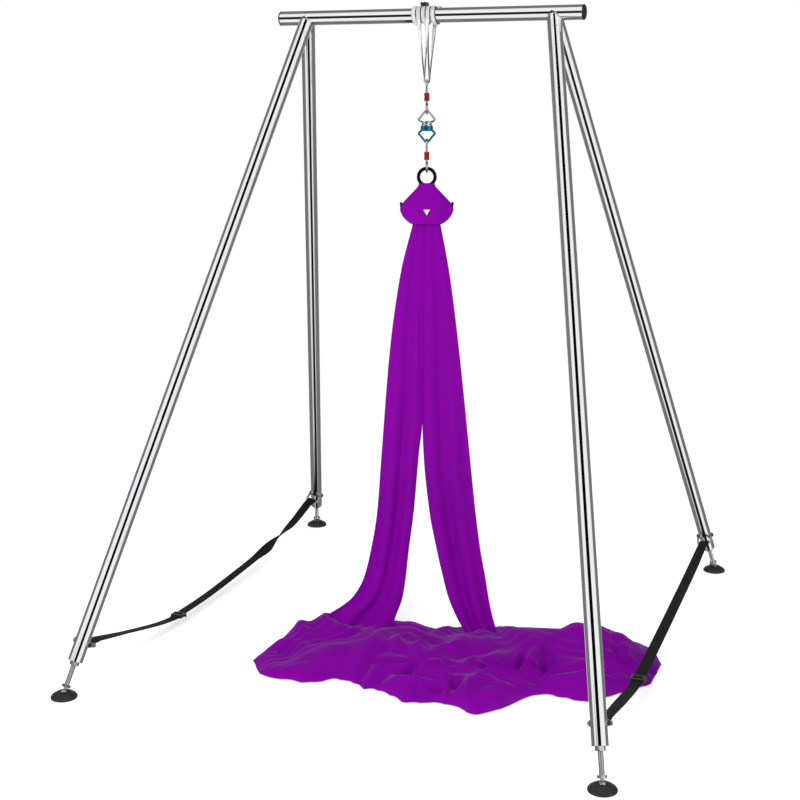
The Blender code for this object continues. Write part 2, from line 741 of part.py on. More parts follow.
def sling_path():
    """Centre points, wide directions and section halves of the sling."""
    wound = TUBE_RADIUS + 2.0 * RUNNING + BAND_HALF_THICKNESS
    start_x = -SLING_PITCH * SLING_TURNS / 2.0
    band = (BAND_HALF_WIDTH, BAND_HALF_THICKNESS)
    strand = (STRAND_HALF_WIDTH, BAND_HALF_THICKNESS)
    along_bar = Vector((1.0, 0.0, 0.0))
    upward = Vector((0.0, 0.0, 1.0))
    over_rod = Vector((math.cos(HANG_TURN), math.sin(HANG_TURN), 0.0))
    rod_way = over_rod.cross(upward)
    found = []

    def on_bar(turn_number, angle):
        x = start_x + SLING_PITCH * (turn_number + angle / (2.0 * math.pi))
        y = -wound * math.sin(angle)
        z = BAR_HEIGHT + wound * math.cos(angle)
        found.append((Vector((x, y, z)), along_bar, band))

    def strand_run(top, foot, backwards):
        steps = [k / STRAND_POINTS for k in range(1, STRAND_POINTS)]
        for share in reversed(steps) if backwards else steps:
            eased = share * share * (3.0 - 2.0 * share)
            point = top.lerp(foot, share)
            wide = along_bar.lerp(rod_way, eased)
            half = BAND_HALF_WIDTH + (STRAND_HALF_WIDTH - BAND_HALF_WIDTH) * min(share * STRAND_TAPER, 1.0)
            found.append((point, wide, (half, BAND_HALF_THICKNESS)))

    quarter = POINTS_PER_TURN // 4
    bight = CARABINER_ROD + BIGHT_CLEARANCE + BAND_HALF_THICKNESS
    for turn in range(SLING_TURNS):
        if turn not in LONG_TURNS:
            for k in range(POINTS_PER_TURN):
                on_bar(turn, 2.0 * math.pi * k / POINTS_PER_TURN)
            continue
        for k in range(quarter + 1):
            on_bar(turn, 2.0 * math.pi * k / POINTS_PER_TURN)
        bight_y = -BIGHT_OFFSET if turn == LONG_TURNS[0] else BIGHT_OFFSET
        bend = CARABINER_WIDTH / 2.0
        drop = bend - math.sqrt(bend**2 - BIGHT_OFFSET**2)
        centre = rod_way * bight_y + Vector((0.0, 0.0, sling_height() - drop))
        front_top = found[-1][0]
        x = start_x + SLING_PITCH * (turn + 0.75)
        back_top = Vector((x, wound, BAR_HEIGHT))
        left = centre - over_rod * bight
        right = centre + over_rod * bight
        strand_run(front_top, left, False)
        for k in range(7):
            angle = math.pi + math.pi * k / 6.0
            point = centre + over_rod * (bight * math.cos(angle)) + upward * (bight * math.sin(angle))
            found.append((point, rod_way, strand))
        strand_run(back_top, right, True)
        for k in range(3 * quarter, POINTS_PER_TURN):
            on_bar(turn, 2.0 * math.pi * k / POINTS_PER_TURN)
    on_bar(SLING_TURNS, 0.0)
    return found


def least_gap(rings, reach, close_path=False):
    """Least distance between ring points that are more than reach apart along the path."""
    centres = [sum(ring, Vector()) / len(ring) for ring in rings]
    lengths = [0.0]
    for a, b in zip(centres, centres[1:]):
        lengths.append(lengths[-1] + (b - a).length)
    whole = lengths[-1] + (centres[0] - centres[-1]).length
    best = whole
    for i, ring in enumerate(rings):
        for j in range(i + 1, len(rings)):
            apart = lengths[j] - lengths[i]
            if close_path:
                apart = min(apart, whole - apart)
            if apart < reach or (centres[i] - centres[j]).length > 0.05:
                continue
            best = min(best, min((p - q).length for p in ring for q in rings[j]))
    return best


def make_sling(rope, pivot):
    """Wound sling with two long bights, and the knot on top."""
    path = sling_path()
    rings = oval_rings([p for p, _, _ in path], [w for _, w, _ in path], [h for _, _, h in path], 6)
    print(f"sling: least gap to itself {1000.0 * least_gap(rings, 0.05):.2f} mm")
    shift = Matrix.Translation(-pivot.matrix_world.translation)
    bm = skin(rings)
    bmesh.ops.transform(bm, matrix=shift, verts=bm.verts)
    add_object("sling", bm, rope, pivot)
    points = []
    for k in range(KNOT_POINTS):
        t = 2.0 * math.pi * k / KNOT_POINTS
        x = KNOT_SCALE * (math.sin(t) + 2.0 * math.sin(2.0 * t))
        y = KNOT_SCALE * (math.cos(t) - 2.0 * math.cos(2.0 * t))
        points.append(Vector((x, y, -KNOT_RISE * math.sin(3.0 * t))))
    halves = [(KNOT_RADIUS, KNOT_RADIUS)] * len(points)
    upward = [Vector((0.0, 0.0, 1.0))] * len(points)
    rings = oval_rings(points, upward, halves, 6, close_path=True)
    print(f"knot: least gap to itself {1000.0 * least_gap(rings, 0.03, True):.2f} mm")
    top = TUBE_RADIUS + 2.0 * RUNNING + 2.0 * BAND_HALF_THICKNESS
    knot_z = top + KNOT_RADIUS + KNOT_RISE - KNOT_SEAT
    add_object("sling_knot", skin(rings, close_path=True), rope, pivot, (KNOT_X, 0.0, knot_z))


# Carabiners


def carabiner_side(height, half):
    """Heights of the hinge pivot and the nose end, from the carabiner's middle."""
    straight = (height - half * 2.0) / 2.0
    return -straight + HINGE_RISE, straight - NOSE_DROP


def make_carabiner(name, pivot, middle_z, alloy, red):
    """Screw-gate carabiner in the YZ plane, gate toward -Y."""
    half = CARABINER_WIDTH / 2.0
    straight = CARABINER_HEIGHT / 2.0 - half
    hinge_z, nose_z = carabiner_side(CARABINER_HEIGHT, half)
    flat = [(-half, hinge_z), (-half, -straight)]
    flat += arc((0.0, -straight), half, 180.0, 360.0, 10)[1:]
    flat += arc((0.0, straight), half, 0.0, 180.0, 10)
    flat += [(-half, nose_z)]
    points = [Vector((0.0, y, z)) for y, z in flat]
    place = (0.0, 0.0, middle_z)
    bent = bent_rod(points, CARABINER_ROD, Vector((1.0, 0.0, 0.0)), ROD_SIDES)
    body = add_object(f"{name}_body", bent, alloy, pivot, place)
    hinge = Matrix.Translation((0.0, -half, hinge_z))
    knuckle = rod(HINGE_KNUCKLE, -CARABINER_ROD, CARABINER_ROD, SMALL_STEPS, hinge @ ALONG_X)
    combine(body, f"{name}_knuckle", knuckle, "UNION", pivot, place)
    slot_half = TONGUE_THICKNESS / 2.0 + RUNNING
    depth = HINGE_KNUCKLE + 2.0 * RUNNING
    slot_low = (-slot_half, -half - 2.0 * depth, hinge_z - depth)
    slot = block(slot_low, (slot_half, -half + 2.0 * depth, hinge_z + depth))
    combine(body, f"{name}_slot", slot, "DIFFERENCE", pivot, place)
    pin_hole = rod(HINGE_PIN + GAP, -2.0 * CARABINER_ROD, 2.0 * CARABINER_ROD, SMALL_STEPS, hinge @ ALONG_X)
    combine(body, f"{name}_pin_hole", pin_hole, "DIFFERENCE", pivot, place)
    pin_length = CARABINER_ROD - 2.0 * GAP
    pin = rod(HINGE_PIN, -pin_length, pin_length, SMALL_STEPS, hinge @ ALONG_X)
    add_object(f"{name}_pin", pin, alloy, pivot, place)

    gate_axis = add_pivot(f"{name}_gate_axis", Matrix.Translation((0.0, -half, middle_z + hinge_z)), pivot)
    length = nose_z - hinge_z - 2.0 * GAP
    start = HINGE_KNUCKLE + RUNNING
    gate = add_object(f"{name}_gate", rod(CARABINER_ROD, start, length, SMALL_STEPS), alloy, gate_axis)
    tongue_half = TONGUE_THICKNESS / 2.0
    eye = HINGE_KNUCKLE * 0.85
    outline = arc((0.0, 0.0), eye, 180.0, 360.0, 6) + [(eye, 2.0 * start), (-eye, 2.0 * start)]
    tongue = extrude_outline(outline, -tongue_half, tongue_half, UPRIGHT_YZ)
    combine(gate, f"{name}_gate_tongue", tongue, "UNION", gate_axis)
    hole = rod(HINGE_PIN + GAP, -2.0 * CARABINER_ROD, 2.0 * CARABINER_ROD, SMALL_STEPS, ALONG_X)
    combine(gate, f"{name}_gate_hole", hole, "DIFFERENCE", gate_axis)

    inner = CARABINER_ROD + 1.5 * RUNNING
    top = SLEEVE_LENGTH / 2.0
    profile = [
        (inner, -top),
        (SLEEVE_RADIUS - SLEEVE_RIM, -top),
        (SLEEVE_RADIUS, -top + SLEEVE_RIM),
        (SLEEVE_RADIUS, top - SLEEVE_RIM),
        (SLEEVE_RADIUS - SLEEVE_RIM, top),
        (inner, top),
    ]
    sleeve = lathe(profile, SMALL_STEPS, closed=True)
    add_object(f"{name}_sleeve", sleeve, red, gate_axis, (0.0, 0.0, -hinge_z))


# Swivel


def bail_path(apex_z, base_z, hub_radius):
    """Bail outline in XZ: hub side, shoulder, round apex, shoulder, hub side."""
    up = 1.0 if apex_z > base_z else -1.0
    turn = BAIL_ROD + CARABINER_ROD + GAP
    seat = apex_z - up * turn
    shoulder_z = base_z + up * BAIL_ROD * 2.2
    shoulder = Vector((BAIL_HALF_WIDTH, shoulder_z))
    centre = Vector((0.0, seat))
    reach = (shoulder - centre).length
    lean = math.atan2(shoulder.y - centre.y, shoulder.x - centre.x)
    touch = lean + up * math.acos(turn / reach)
    start = math.degrees(touch)
    end = 180.0 - start
    if up < 0:
        end = -180.0 - start
    crown = [Vector(p) for p in arc((0.0, seat), turn, start, end, 6)]
    root = Vector((hub_radius - BAIL_ROD, base_z - up * BAIL_ROD * 0.4))
    elbow = Vector((BAIL_HALF_WIDTH * 0.86, base_z + up * BAIL_ROD * 0.7))
    right = [root, elbow, shoulder, shoulder.lerp(crown[0], 0.12)]
    left = [Vector((-p.x, p.y)) for p in reversed(right)]
    return [Vector((p.x, 0.0, p.y)) for p in right + crown + left]


def make_swivel(top_rod_z, alloy, blue, steel, upper_pivot):
    """Double-bail swivel that turns on a headed axle and a thrust race."""
    apex = top_rod_z + CARABINER_ROD + BAIL_ROD + GAP
    hub_top = apex - UPPER_BAIL_DROP
    middle = hub_top - UPPER_HUB_HEIGHT
    hub_bottom = middle - LOWER_HUB_HEIGHT
    base = upper_pivot.matrix_world.translation.z
    lift = (0.0, 0.0, -base)
    bore = AXLE_RADIUS + GAP
    profile = [
        (bore, middle + GAP),
        (UPPER_HUB_RADIUS * 1.12, middle + GAP),
        (UPPER_HUB_RADIUS * 1.12, middle + UPPER_HUB_HEIGHT * 0.35),
        (UPPER_HUB_RADIUS, middle + UPPER_HUB_HEIGHT * 0.5),
        (UPPER_HUB_RADIUS, hub_top),
        (bore, hub_top),
    ]
    upper = add_object("swivel_upper_bail", lathe(profile, HUB_STEPS, closed=True), alloy, upper_pivot, lift)
    points = bail_path(apex, hub_top, UPPER_HUB_RADIUS)
    loop = bent_rod(points, BAIL_ROD, Vector((0.0, 1.0, 0.0)), ROD_SIDES)
    combine(upper, "upper_loop", loop, "UNION", upper_pivot, lift)

    recess = AXLE_HEAD_HEIGHT + RACE_HEIGHT + 3.0 * GAP
    ceiling = hub_bottom + recess
    cavity = RACE_RADIUS + 2.0 * RUNNING
    profile = [
        (AXLE_RADIUS + RUNNING, middle - GAP),
        (LOWER_HUB_RADIUS, middle - GAP),
        (LOWER_HUB_RADIUS, hub_bottom + HUB_CHAMFER),
        (LOWER_HUB_RADIUS - HUB_CHAMFER, hub_bottom),
        (cavity, hub_bottom),
        (cavity, ceiling),
        (AXLE_RADIUS + RUNNING, ceiling),
    ]
    lower_pivot = add_pivot("swivel_axis", Matrix.Translation((0.0, 0.0, middle - base)), upper_pivot)
    drop = (0.0, 0.0, -middle)
    lower = add_object("swivel_lower_bail", lathe(profile, HUB_STEPS, closed=True), blue, lower_pivot, drop)
    low_apex = hub_bottom - LOWER_BAIL_DROP
    points = bail_path(low_apex, hub_bottom, LOWER_HUB_RADIUS)
    loop = bent_rod(points, BAIL_ROD, Vector((0.0, 1.0, 0.0)), ROD_SIDES)
    combine(lower, "lower_loop", loop, "UNION", lower_pivot, drop)

    head = AXLE_HEAD_RADIUS
    profile = [
        (0.0, hub_bottom),
        (head, hub_bottom),
        (head, hub_bottom + AXLE_HEAD_HEIGHT),
        (AXLE_RADIUS, hub_bottom + AXLE_HEAD_HEIGHT),
        (AXLE_RADIUS, hub_top + GAP),
        (head * 0.75, hub_top + GAP),
        (head * 0.75, hub_top + GAP + AXLE_HEAD_HEIGHT * 0.6),
        (head * 0.5, hub_top + GAP + AXLE_HEAD_HEIGHT * 0.9),
        (0.0, hub_top + GAP + AXLE_HEAD_HEIGHT * 0.9),
    ]
    add_object("swivel_axle", lathe(profile, HUB_STEPS), steel, upper_pivot, lift)
    race_low = hub_bottom + AXLE_HEAD_HEIGHT + GAP
    race = tube(RACE_RADIUS, AXLE_RADIUS + RUNNING, race_low, race_low + RACE_HEIGHT, HUB_STEPS)
    add_object("swivel_race", race, steel, lower_pivot, drop)
    return lower_pivot, middle, low_apex


# Rescue eight


def torus_xz(centre_z, radius, thickness, steps, sides):
    """Ring in the XZ plane."""
    rings = []
    for k in range(steps):
        turn = 2.0 * math.pi * (k + 0.5) / steps
        out = Vector((math.cos(turn), 0.0, math.sin(turn)))
        centre = Vector((0.0, 0.0, centre_z)) + out * radius
        ring = []
        for i in range(sides):
            lean = 2.0 * math.pi * i / sides
            side = Vector((0.0, thickness * math.sin(lean), 0.0))
            ring.append(centre + out * (thickness * math.cos(lean)) + side)
        rings.append(ring)
    return skin(rings, close_path=True)


def make_eight(small_z, large_z, black, pivot, lift):
    """Two fused rings with an upturned ear each side."""
    large = torus_xz(large_z, LARGE_RING, EIGHT_ROD, 24, ROD_SIDES)
    eight = add_object("rescue_eight", large, black, pivot, lift)
    small = torus_xz(small_z, SMALL_RING, EIGHT_ROD, 20, ROD_SIDES)
    combine(eight, "eight_small_ring", small, "UNION", pivot, lift)
    for side, sign in SIDES.items():
        route = [
            Vector((sign * LARGE_RING * 0.86, 0.0, large_z - LARGE_RING * 0.52)),
            Vector((sign * EAR_SPAN * 0.80, 0.0, large_z - LARGE_RING * 0.80)),
            Vector((sign * EAR_SPAN * 0.95, 0.0, large_z - LARGE_RING * 0.60)),
            Vector((sign * EAR_SPAN, 0.0, large_z - LARGE_RING * 0.20)),
            Vector((sign * (EAR_SPAN + EAR_TIP_RADIUS * 0.4), 0.0, large_z + LARGE_RING * 0.12)),
        ]
        points = smooth_curve(route, 2)
        count = len(points) - 1
        widths = [EIGHT_ROD * 0.9 + (EAR_TIP_RADIUS - EIGHT_ROD * 0.9) * k / count for k in range(count + 1)]
        halves = [(w, w) for w in widths]
        horn = skin(oval_rings(points, [Vector((0.0, 1.0, 0.0))] * len(points), halves, ROD_SIDES))
        combine(eight, f"eight_ear_{side}", horn, "UNION", pivot, lift)


# Silk


def make_wrap(small_z, large_z, silk, pivot, lift):
    """Silk folded over the eight: a soft diamond with a pocket for the metal."""
    top = small_z - WRAP_TOP
    bottom = large_z - WRAP_DROP
    height = top - bottom
    widths = [(0.0, WRAP_HALF_BOTTOM), (0.10, 0.082), (0.25, 0.108), (0.36, WRAP_HALF_WIDTH)]
    widths += [(0.50, 0.112), (0.66, 0.086), (0.85, 0.053), (1.0, WRAP_HALF_TOP)]
    rings = []
    rows = 12
    for k in range(rows + 1):
        share = k / rows
        half = interpolate(widths, share)
        depth = WRAP_HALF_DEPTH * (0.72 + 0.28 * math.sin(math.pi * (0.15 + 0.75 * share)))
        ring = []
        for i in range(16):
            turn = 2.0 * math.pi * i / 16
            x = half * math.copysign(abs(math.cos(turn)) ** 0.8, math.cos(turn))
            crease = 1.0 + 0.10 * math.cos(5.0 * turn + 4.0 * share)
            y = depth * crease * math.copysign(abs(math.sin(turn)) ** 0.55, math.sin(turn))
            ring.append(Vector((x, y, bottom + height * share)))
        rings.append(ring)
    wrap = add_object("silk_wrap", skin(rings), silk, pivot, lift)
    half_slot = EIGHT_ROD + POCKET_CLEARANCE
    reach = LARGE_RING + EIGHT_ROD + 2.0 * POCKET_CLEARANCE
    ring_place = Matrix.Translation((0.0, 0.0, large_z)) @ Matrix.Rotation(math.radians(90.0), 4, "X")
    pocket = rod(reach, -half_slot, half_slot, 2 * TUBE_STEPS, ring_place)
    combine(wrap, "wrap_pocket", pocket, "DIFFERENCE", pivot, lift)
    neck = SMALL_RING + EIGHT_ROD + 2.0 * POCKET_CLEARANCE
    half_mouth = half_slot + RUNNING
    mouth = block((-neck, -half_mouth, large_z), (neck, half_mouth, top + height))
    combine(wrap, "wrap_mouth", mouth, "DIFFERENCE", pivot, lift)
    low = large_z - LARGE_RING * 0.80 - EIGHT_ROD - POCKET_CLEARANCE
    high = large_z + LARGE_RING * 0.12 + EIGHT_ROD
    inside = LARGE_RING * 0.8
    for sign in SIDES.values():
        span = sorted((sign * inside, sign * 2.0 * EAR_SPAN))
        half_ear = half_slot - RUNNING
        slot = block((span[0], -half_ear, low), (span[1], half_ear, high))
        combine(wrap, f"wrap_ear_slot_{sign:+.0f}", slot, "DIFFERENCE", pivot, lift)
    hole_z = large_z - LARGE_RING * 0.42
    outline = [(-KEYHOLE_WIDTH / 2.0, hole_z + KEYHOLE_HEIGHT / 2.0), (0.0, hole_z - KEYHOLE_HEIGHT / 2.0)]
    outline += [(KEYHOLE_WIDTH / 2.0, hole_z + KEYHOLE_HEIGHT / 2.0)]
    keyhole = extrude_outline(outline, -2.0 * WRAP_HALF_DEPTH, 2.0 * WRAP_HALF_DEPTH, UPRIGHT_XZ)
    combine(wrap, "wrap_keyhole", keyhole, "DIFFERENCE", pivot, lift)
    return bottom


# Front edge of the heap as (x, y), and how full the heap is along x
FRONT_EDGE = [(-0.60, -0.70), (-0.43, -0.86), (-0.29, -0.85), (-0.16, -0.77), (0.02, -0.80), (0.22, -0.87)]
FRONT_EDGE += [(0.40, -0.85), (0.54, -0.88), (0.64, -0.77), (0.74, -0.61), (0.94, -0.59)]
FRONT_EDGE += [(1.07, -0.47), (1.17, -0.30)]
CREST = [(-0.60, 0.04), (-0.46, 0.62), (-0.20, 0.86), (0.10, 0.96), (0.60, 1.0)]
CREST += [(0.95, 0.98), (1.10, 0.62), (1.17, 0.04)]


def pile_rings(lift=0.0, sink=0.0):
    """Cross-sections of the heaped silk along X, resting flat on the floor."""
    rings = []
    stations = 30
    columns = 11
    low_x = FRONT_EDGE[0][0]
    span = FRONT_EDGE[-1][0] - low_x
    for k in range(stations + 1):
        x = low_x + span * k / stations
        fullness = interpolate(CREST, x)
        front = interpolate(FRONT_EDGE, x)
        depth = PILE_DEPTH * (0.30 + 0.70 * fullness)
        top = []
        for i in range(columns + 1):
            share = i / columns
            y = front + depth * share
            dome = math.sin(math.pi * share) ** 0.6
            fold = math.sin(9.0 * y + 5.0 * x + 1.6 * math.sin(4.0 * x)) + 0.6 * math.sin(17.0 * x - 6.0 * y)
            height = (PILE_HEIGHT * fullness + PILE_FOLD * fold * fullness) * dome
            if i in (0, columns):
                height = PILE_HEM
            top.append(Vector((x, y, max(height, PILE_HEM) + lift)))
        base = [Vector((x, front + depth * (1.0 - j / 2.0), -sink)) for j in range(3)]
        rings.append(top + base)
    return rings


# Edges of the hanging tails as (height, distance from the middle), inner and outer
TAIL_INNER = {
    "left": [(0.12, 0.100), (0.28, 0.082), (0.58, 0.060), (0.88, 0.036), (1.03, 0.020), (1.97, 0.008)],
    "right": [(0.12, 0.150), (0.28, 0.080), (0.58, 0.014), (0.88, -0.016), (1.03, -0.019), (1.97, -0.007)],
}
TAIL_OUTER = {
    "left": [(0.12, 0.360), (0.28, 0.292), (0.58, 0.240), (0.88, 0.219), (1.40, 0.172)],
    "right": [(0.12, 0.345), (0.28, 0.292), (0.58, 0.233), (1.03, 0.187), (1.40, 0.147)],
}
TAIL_OUTER["left"] += [(1.75, 0.120), (1.97, 0.064)]
TAIL_OUTER["right"] += [(1.75, 0.103), (1.97, 0.063)]


def make_tail(side, top, silk, pivot, lift):
    """One hanging tail of silk with its main folds, down to the pile."""
    sign = SIDES[side]
    rows = 13
    columns = 12
    inner = smooth_table(TAIL_INNER[side])
    outer = smooth_table(TAIL_OUTER[side])
    foot = PILE_HEIGHT * 0.35
    rings = []
    for k in range(rows + 1):
        share = k / rows
        z = top - GAP - (top - foot) * share
        near = inner(z) + TAIL_PARTING
        far = outer(z)
        forward = -TAIL_REACH * max(0.0, (share - 0.72) / 0.28) ** 1.6
        amplitude = 0.008 + 0.022 * share
        front, back = [], []
        for i in range(columns + 1):
            across = i / columns
            x = sign * (near + (far - near) * across)
            wave = math.cos(2.0 * math.pi * TAIL_FOLDS * across + 1.4 * share)
            edge = math.sin(math.pi * min(max(across, 0.04), 0.96)) ** 0.3
            y = forward + amplitude * wave * edge
            half = TAIL_THICKNESS / 2.0 * edge
            front.append(Vector((x, y - half, z)))
            back.append(Vector((x, y + half, z)))
        rings.append(front + back[::-1])
    tail = add_object(f"silk_tail_{side}", skin(rings), silk, pivot, lift)
    cutter = skin(pile_rings(lift=2.0 * GAP, sink=PILE_HEIGHT))
    combine(tail, f"tail_rest_{side}", cutter, "DIFFERENCE")


def make_hanging(rope, alloy, red, blue, steel, black, silk):
    """Everything that hangs from the bar, from the sling to the silk."""
    swing = add_pivot("swing_axis", Matrix.Translation((0.0, 0.0, BAR_HEIGHT)))
    bpy.context.view_layer.update()
    make_sling(rope, swing)
    top_rod = sling_height()
    turn = Matrix.Rotation(HANG_TURN, 4, "Z")
    sway = add_pivot("sway_axis", Matrix.Translation((0.0, 0.0, top_rod - BAR_HEIGHT)) @ turn, swing)
    bpy.context.view_layer.update()
    make_carabiner("upper_carabiner", sway, -CARABINER_HEIGHT / 2.0, alloy, red)
    low_rod = top_rod - CARABINER_HEIGHT
    spin, middle, low_apex = make_swivel(low_rod, alloy, blue, steel, sway)
    second_rod = low_apex + BAIL_ROD + CARABINER_ROD + GAP
    make_carabiner("lower_carabiner", spin, second_rod - CARABINER_HEIGHT / 2.0 - middle, alloy, red)
    ring_top = second_rod - CARABINER_HEIGHT + CARABINER_ROD + EIGHT_ROD + GAP
    small_z = ring_top - SMALL_RING
    large_z = small_z - SMALL_RING - LARGE_RING - RING_SPACING
    drop = (0.0, 0.0, -middle)
    make_eight(small_z, large_z, black, spin, drop)
    bottom = make_wrap(small_z, large_z, silk, spin, drop)
    for side in SIDES:
        make_tail(side, bottom, silk, spin, drop)


def main():
    clear_scene()
    chrome = finish("chrome", (0.80, 0.80, 0.82), 1.0, 0.06)
    steel = finish("zinc_steel", (0.62, 0.63, 0.65), 1.0, 0.32)
    dark = finish("dark_steel", (0.06, 0.06, 0.065), 0.6, 0.40)
    rubber = finish("rubber", (0.018, 0.018, 0.020), 0.0, 0.62)
    webbing = finish("webbing", (0.014, 0.014, 0.016), 0.0, 0.80)
    rope = finish("sling_rope", (0.62, 0.62, 0.62), 0.0, 0.78)
    alloy = finish("bright_alloy", (0.78, 0.79, 0.80), 1.0, 0.20)
    red = finish("red_anodised", (0.52, 0.035, 0.045), 0.6, 0.30)
    blue = finish("blue_anodised", (0.02, 0.26, 0.40), 0.8, 0.25)
    black = finish("black_anodised", (0.012, 0.012, 0.013), 0.5, 0.30)
    silk = finish("silk", (0.235, 0.0, 0.395), 0.0, 0.55)

    make_bar(chrome, rubber)
    make_sockets(chrome)
    for side in SIDES:
        for row in ROWS:
            axis = make_leg(side, row, chrome, steel)
            make_bracket(side, row, axis, steel)
            make_cross_bolt(side, row, axis, dark)
            make_foot(side, row, steel, rubber)
        make_strap(side, webbing)
        make_buckle(side, dark)
    make_hanging(rope, alloy, red, blue, steel, black, silk)
    add_object("silk_pile", skin(pile_rings()), silk)


main()
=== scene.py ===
"""Looks of a free-standing aerial yoga frame with its rigging and a two-tailed silk.

Metres, +Z up. The floor is z = 0, X runs along the top bar and the front is -Y.
"""

import json
import logging
import math
from collections.abc import Sequence
from dataclasses import dataclass
from enum import Enum
from functools import cache
from itertools import accumulate

import bmesh
import bpy
from mathutils import Matrix, Vector, noise

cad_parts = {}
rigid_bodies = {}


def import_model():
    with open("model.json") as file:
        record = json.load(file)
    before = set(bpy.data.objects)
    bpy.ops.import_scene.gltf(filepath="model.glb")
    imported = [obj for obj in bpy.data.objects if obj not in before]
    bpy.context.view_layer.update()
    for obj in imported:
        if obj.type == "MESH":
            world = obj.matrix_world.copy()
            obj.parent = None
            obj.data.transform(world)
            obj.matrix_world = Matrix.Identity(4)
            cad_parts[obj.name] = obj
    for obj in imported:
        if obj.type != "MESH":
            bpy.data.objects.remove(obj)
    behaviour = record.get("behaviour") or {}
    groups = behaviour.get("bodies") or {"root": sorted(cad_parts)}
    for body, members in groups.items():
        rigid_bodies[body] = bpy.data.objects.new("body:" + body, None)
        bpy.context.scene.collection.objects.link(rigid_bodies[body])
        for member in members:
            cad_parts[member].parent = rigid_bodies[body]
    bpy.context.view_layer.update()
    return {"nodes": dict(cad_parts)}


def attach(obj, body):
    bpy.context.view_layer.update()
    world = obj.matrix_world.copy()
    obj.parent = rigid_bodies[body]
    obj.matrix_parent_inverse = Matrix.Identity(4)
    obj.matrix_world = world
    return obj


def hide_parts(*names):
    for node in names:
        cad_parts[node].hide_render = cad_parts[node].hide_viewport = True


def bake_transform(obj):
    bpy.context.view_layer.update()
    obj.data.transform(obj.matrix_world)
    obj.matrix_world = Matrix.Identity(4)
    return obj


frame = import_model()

logging.basicConfig(level=logging.INFO, format="%(message)s")
log = logging.getLogger("yoga_frame")

Profile = list[tuple[float, float]]
Colour = tuple[float, float, float]

# Smallest radius of a turned circle, and the distance at which its points are welded
POLE = 2e-6
WELD = 1e-5
# Clearance between pieces that touch, and between pieces that slide
GAP = 0.0003
SLIDE = 0.0004
# Chamfer of a small turned edge
EDGE = 0.0008
FULL_TURN = 2.0 * math.pi
ALONG_X = Matrix.Rotation(math.radians(90.0), 4, "Y")
LEVEL_X = Vector((1.0, 0.0, 0.0))
UP = Vector((0.0, 0.0, 1.0))
WHITE = (1.0, 1.0, 1.0, 1.0)


class Labelled(Enum):
    """Choice whose name goes into the names of pieces."""

    @property
    def label(self) -> str:
        """Name in lower case."""
        return self.name.lower()


class Side(Labelled):
    """Left and right of the frame, seen from the front."""

    LEFT = -1.0
    RIGHT = 1.0


class Row(Labelled):
    """Front and back pair of legs."""

    FRONT = -1.0
    BACK = 1.0


class Cut(Enum):
    """What a Boolean does with its tool."""

    AWAY = "DIFFERENCE"
    JOIN = "UNION"
    WITHIN = "INTERSECT"


# Workshop


def clear_selection() -> None:
    """Deselect everything, the frame's own nodes too."""
    if bpy.context.object and bpy.context.object.mode != "OBJECT":
        bpy.ops.object.mode_set(mode="OBJECT")
    bpy.ops.object.select_all(action="DESELECT")


def take(*things: bpy.types.Object) -> bpy.types.Object:
    """Select the objects, the first one active.

    Args:
        things: Objects to select.

    Returns:
        The first of them.
    """
    clear_selection()
    for thing in things:
        thing.select_set(True)
    bpy.context.view_layer.objects.active = things[0]
    return things[0]


def named(name: str) -> bpy.types.Object:
    """Name the active object and its mesh.

    Args:
        name: Their new name.

    Returns:
        The active object.
    """
    thing = bpy.context.object
    thing.name = name
    thing.data.name = name
    return thing


def shift(x: float, y: float, z: float) -> Matrix:
    """Move by an offset."""
    return Matrix.Translation((x, y, z))


def place(thing: bpy.types.Object, matrix: Matrix) -> bpy.types.Object:
    """Put an object at its place and work the place into its mesh.

    Args:
        thing: Object to move.
        matrix: Where it goes.

    Returns:
        The same object, at the origin.
    """
    take(thing)
    thing.matrix_world = matrix @ thing.matrix_world
    bpy.ops.object.transform_apply(location=True, rotation=True, scale=True)
    return thing


def modified(thing: bpy.types.Object, kind: str, **settings: object) -> bpy.types.Object:
    """Add a modifier to an object and apply it.

    Args:
        thing: Object to change.
        kind: Type of the modifier.
        settings: Its options.

    Returns:
        The same object.
    """
    modifier = thing.modifiers.new("finish", kind)
    for key, value in settings.items():
        setattr(modifier, key, value)
    take(thing)
    bpy.ops.object.modifier_apply(modifier=modifier.name)
    return thing


def copy_of(thing: bpy.types.Object, name: str) -> bpy.types.Object:
    """Copy an object with a mesh of its own.

    Args:
        thing: Object to copy.
        name: Name of the copy.

    Returns:
        The copy.
    """
    take(thing)
    bpy.ops.object.duplicate(linked=False)
    return named(name)


def remove(*things: bpy.types.Object) -> None:
    """Delete helper objects."""
    for thing in things:
        bpy.data.objects.remove(thing, do_unlink=True)


def combine(target: bpy.types.Object, tool: bpy.types.Object, cut: Cut) -> bpy.types.Object:
    """Cut or join with an exact Boolean and delete the tool.

    Args:
        target: Object that is changed.
        tool: Object that cuts or is added.
        cut: What is done with it.

    Returns:
        The target.
    """
    modified(target, "BOOLEAN", operation=cut.value, solver="EXACT", object=tool)
    remove(tool)
    return target


def soften(thing: bpy.types.Object, width: float, segments: int = 2, angle: float = 30.0) -> bpy.types.Object:
    """Round the edges that are sharper than an angle.

    Args:
        thing: Object to soften.
        width: Width of the rounding in metres.
        segments: Steps across the rounding.
        angle: Least angle of a rounded edge in degrees.

    Returns:
        The same object.
    """
    return modified(thing, "BEVEL", width=width, segments=segments, limit_method="ANGLE",
                    angle_limit=math.radians(angle), use_clamp_overlap=True)


def thicken(thing: bpy.types.Object, thickness: float, offset: float = 0.0) -> bpy.types.Object:
    """Give a sheet its thickness: half to each side, or all inward with an offset of -1."""
    return modified(thing, "SOLIDIFY", thickness=thickness, offset=offset, use_even_offset=False)


